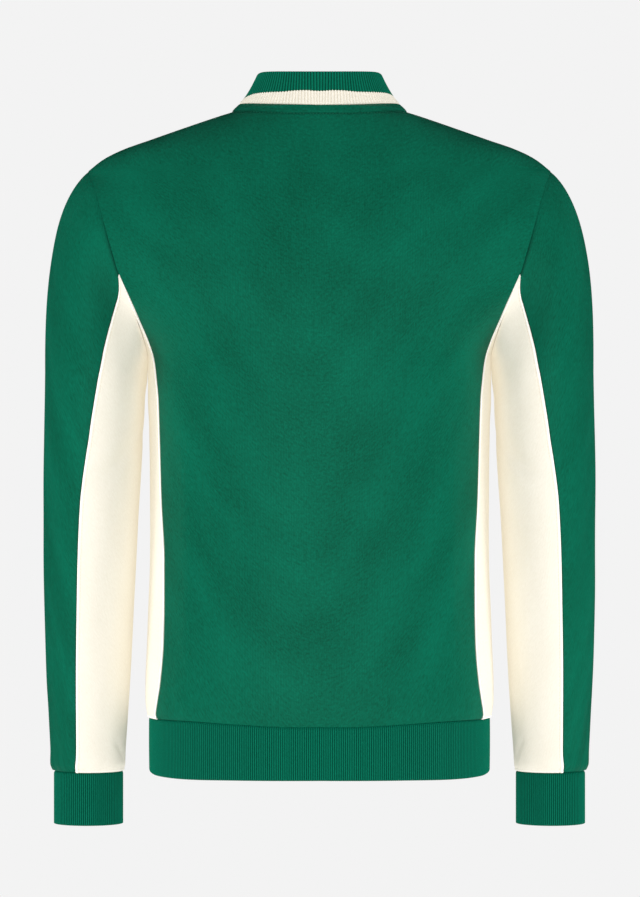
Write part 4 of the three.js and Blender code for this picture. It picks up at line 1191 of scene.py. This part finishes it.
def makeTeeth(side):
    # moulded teeth that mesh across the middle: the left row lies half a pitch lower
    bm = bmesh.new()
    tooth = zipSizes
    bottom, top = tooth["bottom"] + tooth["boxLength"] + tooth["aboveBox"], tooth["top"] - tooth["belowTop"]
    for i in range(int((top - bottom) / tooth["pitch"])):
        height = bottom + tooth["pitch"] * (i + (0.25 if side > 0 else 0.75))
        along = (zipPoint(0, height + 1) - zipPoint(0, height - 1)).normalized()
        outward = Vector((0, -along.z, along.y))
        middle = (zipPoint(0, height) + outward * (tooth["toothOut"] + tooth["toothIn"]) / 2
                  + Vector((side * tooth["toothMiddle"], 0, 0)))
        turn = Matrix((Vector((2 * tooth["toothHalfWidth"], 0, 0)),
                       outward * (tooth["toothOut"] - tooth["toothIn"]),
                       along * 2 * tooth["toothHalf"])).transposed().to_4x4()
        bmesh.ops.create_cube(bm, size=1, matrix=Matrix.Translation(middle) @ turn)
    bmesh.ops.bevel(bm, geom=bm.edges[:], offset=tooth["toothBevel"], affect="EDGES", segments=1, profile=0.5,
                    material=-1)
    finishPiece(f"{sideName[side]}ZipTeeth", bm, [mouldedTeeth], f"zip_teeth_{sideName[side]}")


for side in (1, -1):
    makeTape(side)
    makeTeeth(side)


def roundedNode(name, node, width, bodyName):
    # the node's own form with its edges rounded
    source = bpy.data.objects[node]
    bm = bmesh.new()
    bm.from_mesh(source.data)
    bm.transform(source.matrix_world)
    bmesh.ops.scale(bm, vec=(1000, 1000, 1000), verts=bm.verts)
    bmesh.ops.remove_doubles(bm, verts=bm.verts, dist=0.002)
    bmesh.ops.dissolve_limit(bm, angle_limit=radians(2), verts=bm.verts, edges=bm.edges)
    sharp = [edge for edge in bm.edges if len(edge.link_faces) == 2 and edge.calc_face_angle(0) > radians(28)]
    bmesh.ops.bevel(bm, geom=sharp, offset=width, affect="EDGES", segments=3, profile=0.5, material=-1,
                    clamp_overlap=True)
    bmesh.ops.triangulate(bm, faces=[face for face in bm.faces if len(face.verts) > 4])
    piece = finishPiece(name, bm, [nickel], node, bodyName)
    for face in piece.data.polygons:
        face.use_smooth = False


roundedNode("zipBox", "zip_box", 0.35, "jacket")
roundedNode("zipSlider", "zip_slider", 0.22, "jacket")
roundedNode("pullTab", "pull_tab", 0.3, "pull_tab")
print("zip made")

sewTogether("greenStitching", greenStitches, greenThread)
sewTogether("creamStitching", creamStitches, creamThread)
print("stitches made")

# the camera stands where the photograph was taken from
camera = bpy.data.objects.new("camera", bpy.data.cameras.new("camera"))
camera.data.lens = 132.4
camera.data.sensor_width = 36
camera.location = (-0.0005, 3.3, -0.3375)
camera.rotation_euler = (pi / 2, 0, pi)
bpy.context.scene.collection.objects.link(camera)
bpy.context.scene.camera = camera

# the floor lies as far below the neck as it would under a wearer
floorMaterial, floorTree = newMaterial("pale studio floor")
floorGrain = addNode(floorTree, "TexNoise", "Fac", {"Scale": 60, "Detail": 2})
floorTone = addNode(floorTree, "Mix", "Result", {"Factor": floorGrain, "A": colour("#e9e9e9"),
                    "B": colour("#efefef")}, data_type="RGBA")
floorShader = addNode(floorTree, "BsdfPrincipled", "BSDF", {"Base Color": floorTone, "Roughness": 0.8})
addNode(floorTree, "OutputMaterial", None, {"Surface": floorShader})
bm = bmesh.new()
bmesh.ops.create_grid(bm, x_segments=8, y_segments=8, size=2.2)
bmesh.ops.translate(bm, vec=(0, 0, -1.45), verts=bm.verts)
floorMesh = bpy.data.meshes.new("floor")
bm.to_mesh(floorMesh)
bm.free()
floorMesh.materials.append(floorMaterial)
floor = bpy.data.objects.new("floor", floorMesh)
bpy.context.scene.collection.objects.link(floor)


def addSoftbox(name, place, aim, size, power, glossy=False):
    # a glossy softbox also shows as a sheen on the cloth
    lamp = bpy.data.lights.new(name, "AREA")
    lamp.shape = "RECTANGLE"
    lamp.size, lamp.size_y = size
    lamp.energy = power
    holder = bpy.data.objects.new(name, lamp)
    holder.location = place
    holder.rotation_euler = (Vector(aim) - Vector(place)).to_track_quat("-Z", "Y").to_euler()
    holder.visible_glossy = glossy
    bpy.context.scene.collection.objects.link(holder)


# pairs stand at the left and the right
for side in (1, -1):
    addSoftbox(f"{sideName[side]} side light", (side * 3.0, 0.9, -0.5), (side * 0.2, 0, -0.4), (1.0, 2.0), 38)
for side in (1, -1):
    addSoftbox(f"{sideName[side]} back light", (side * 2.2, 2.6, -0.6), (0, 0, -0.4), (1.2, 1.8), 14)
addSoftbox("camera light", (0, 3.6, -0.7), (0, 0, -0.4), (1.4, 1.0), 30, True)
for side in (1, -1):
    addSoftbox(f"{sideName[side]} front light", (side * 2.0, -2.4, 0.1), (0, 0, -0.35), (1.2, 1.6), 22)
addSoftbox("zip light", (0, -3.4, 0.3), (0, 0, -0.35), (0.9, 1.4), 12, True)

world = bpy.data.worlds.new("pale studio")
bpy.context.scene.world = world
world.use_nodes = True
tree = world.node_tree
tree.nodes.clear()
world.cycles_visibility.glossy = False
# the camera sees the pale backdrop, and the cloth a softer light from all round
seen = addNode(tree, "LightPath", "Is Camera Ray")
backdrop = addNode(tree, "Background", "Background", {"Color": colour("#f3f3f3"), "Strength": 1.0})
around = addNode(tree, "Background", "Background", {"Color": (1, 1, 1, 1), "Strength": 0.5})
both = addNode(tree, "MixShader", "Shader", {"Fac": seen, 1: around, 2: backdrop})
addNode(tree, "OutputWorld", None, {"Surface": both})
bpy.context.scene.view_settings.view_transform = "Standard"
print("studio made")
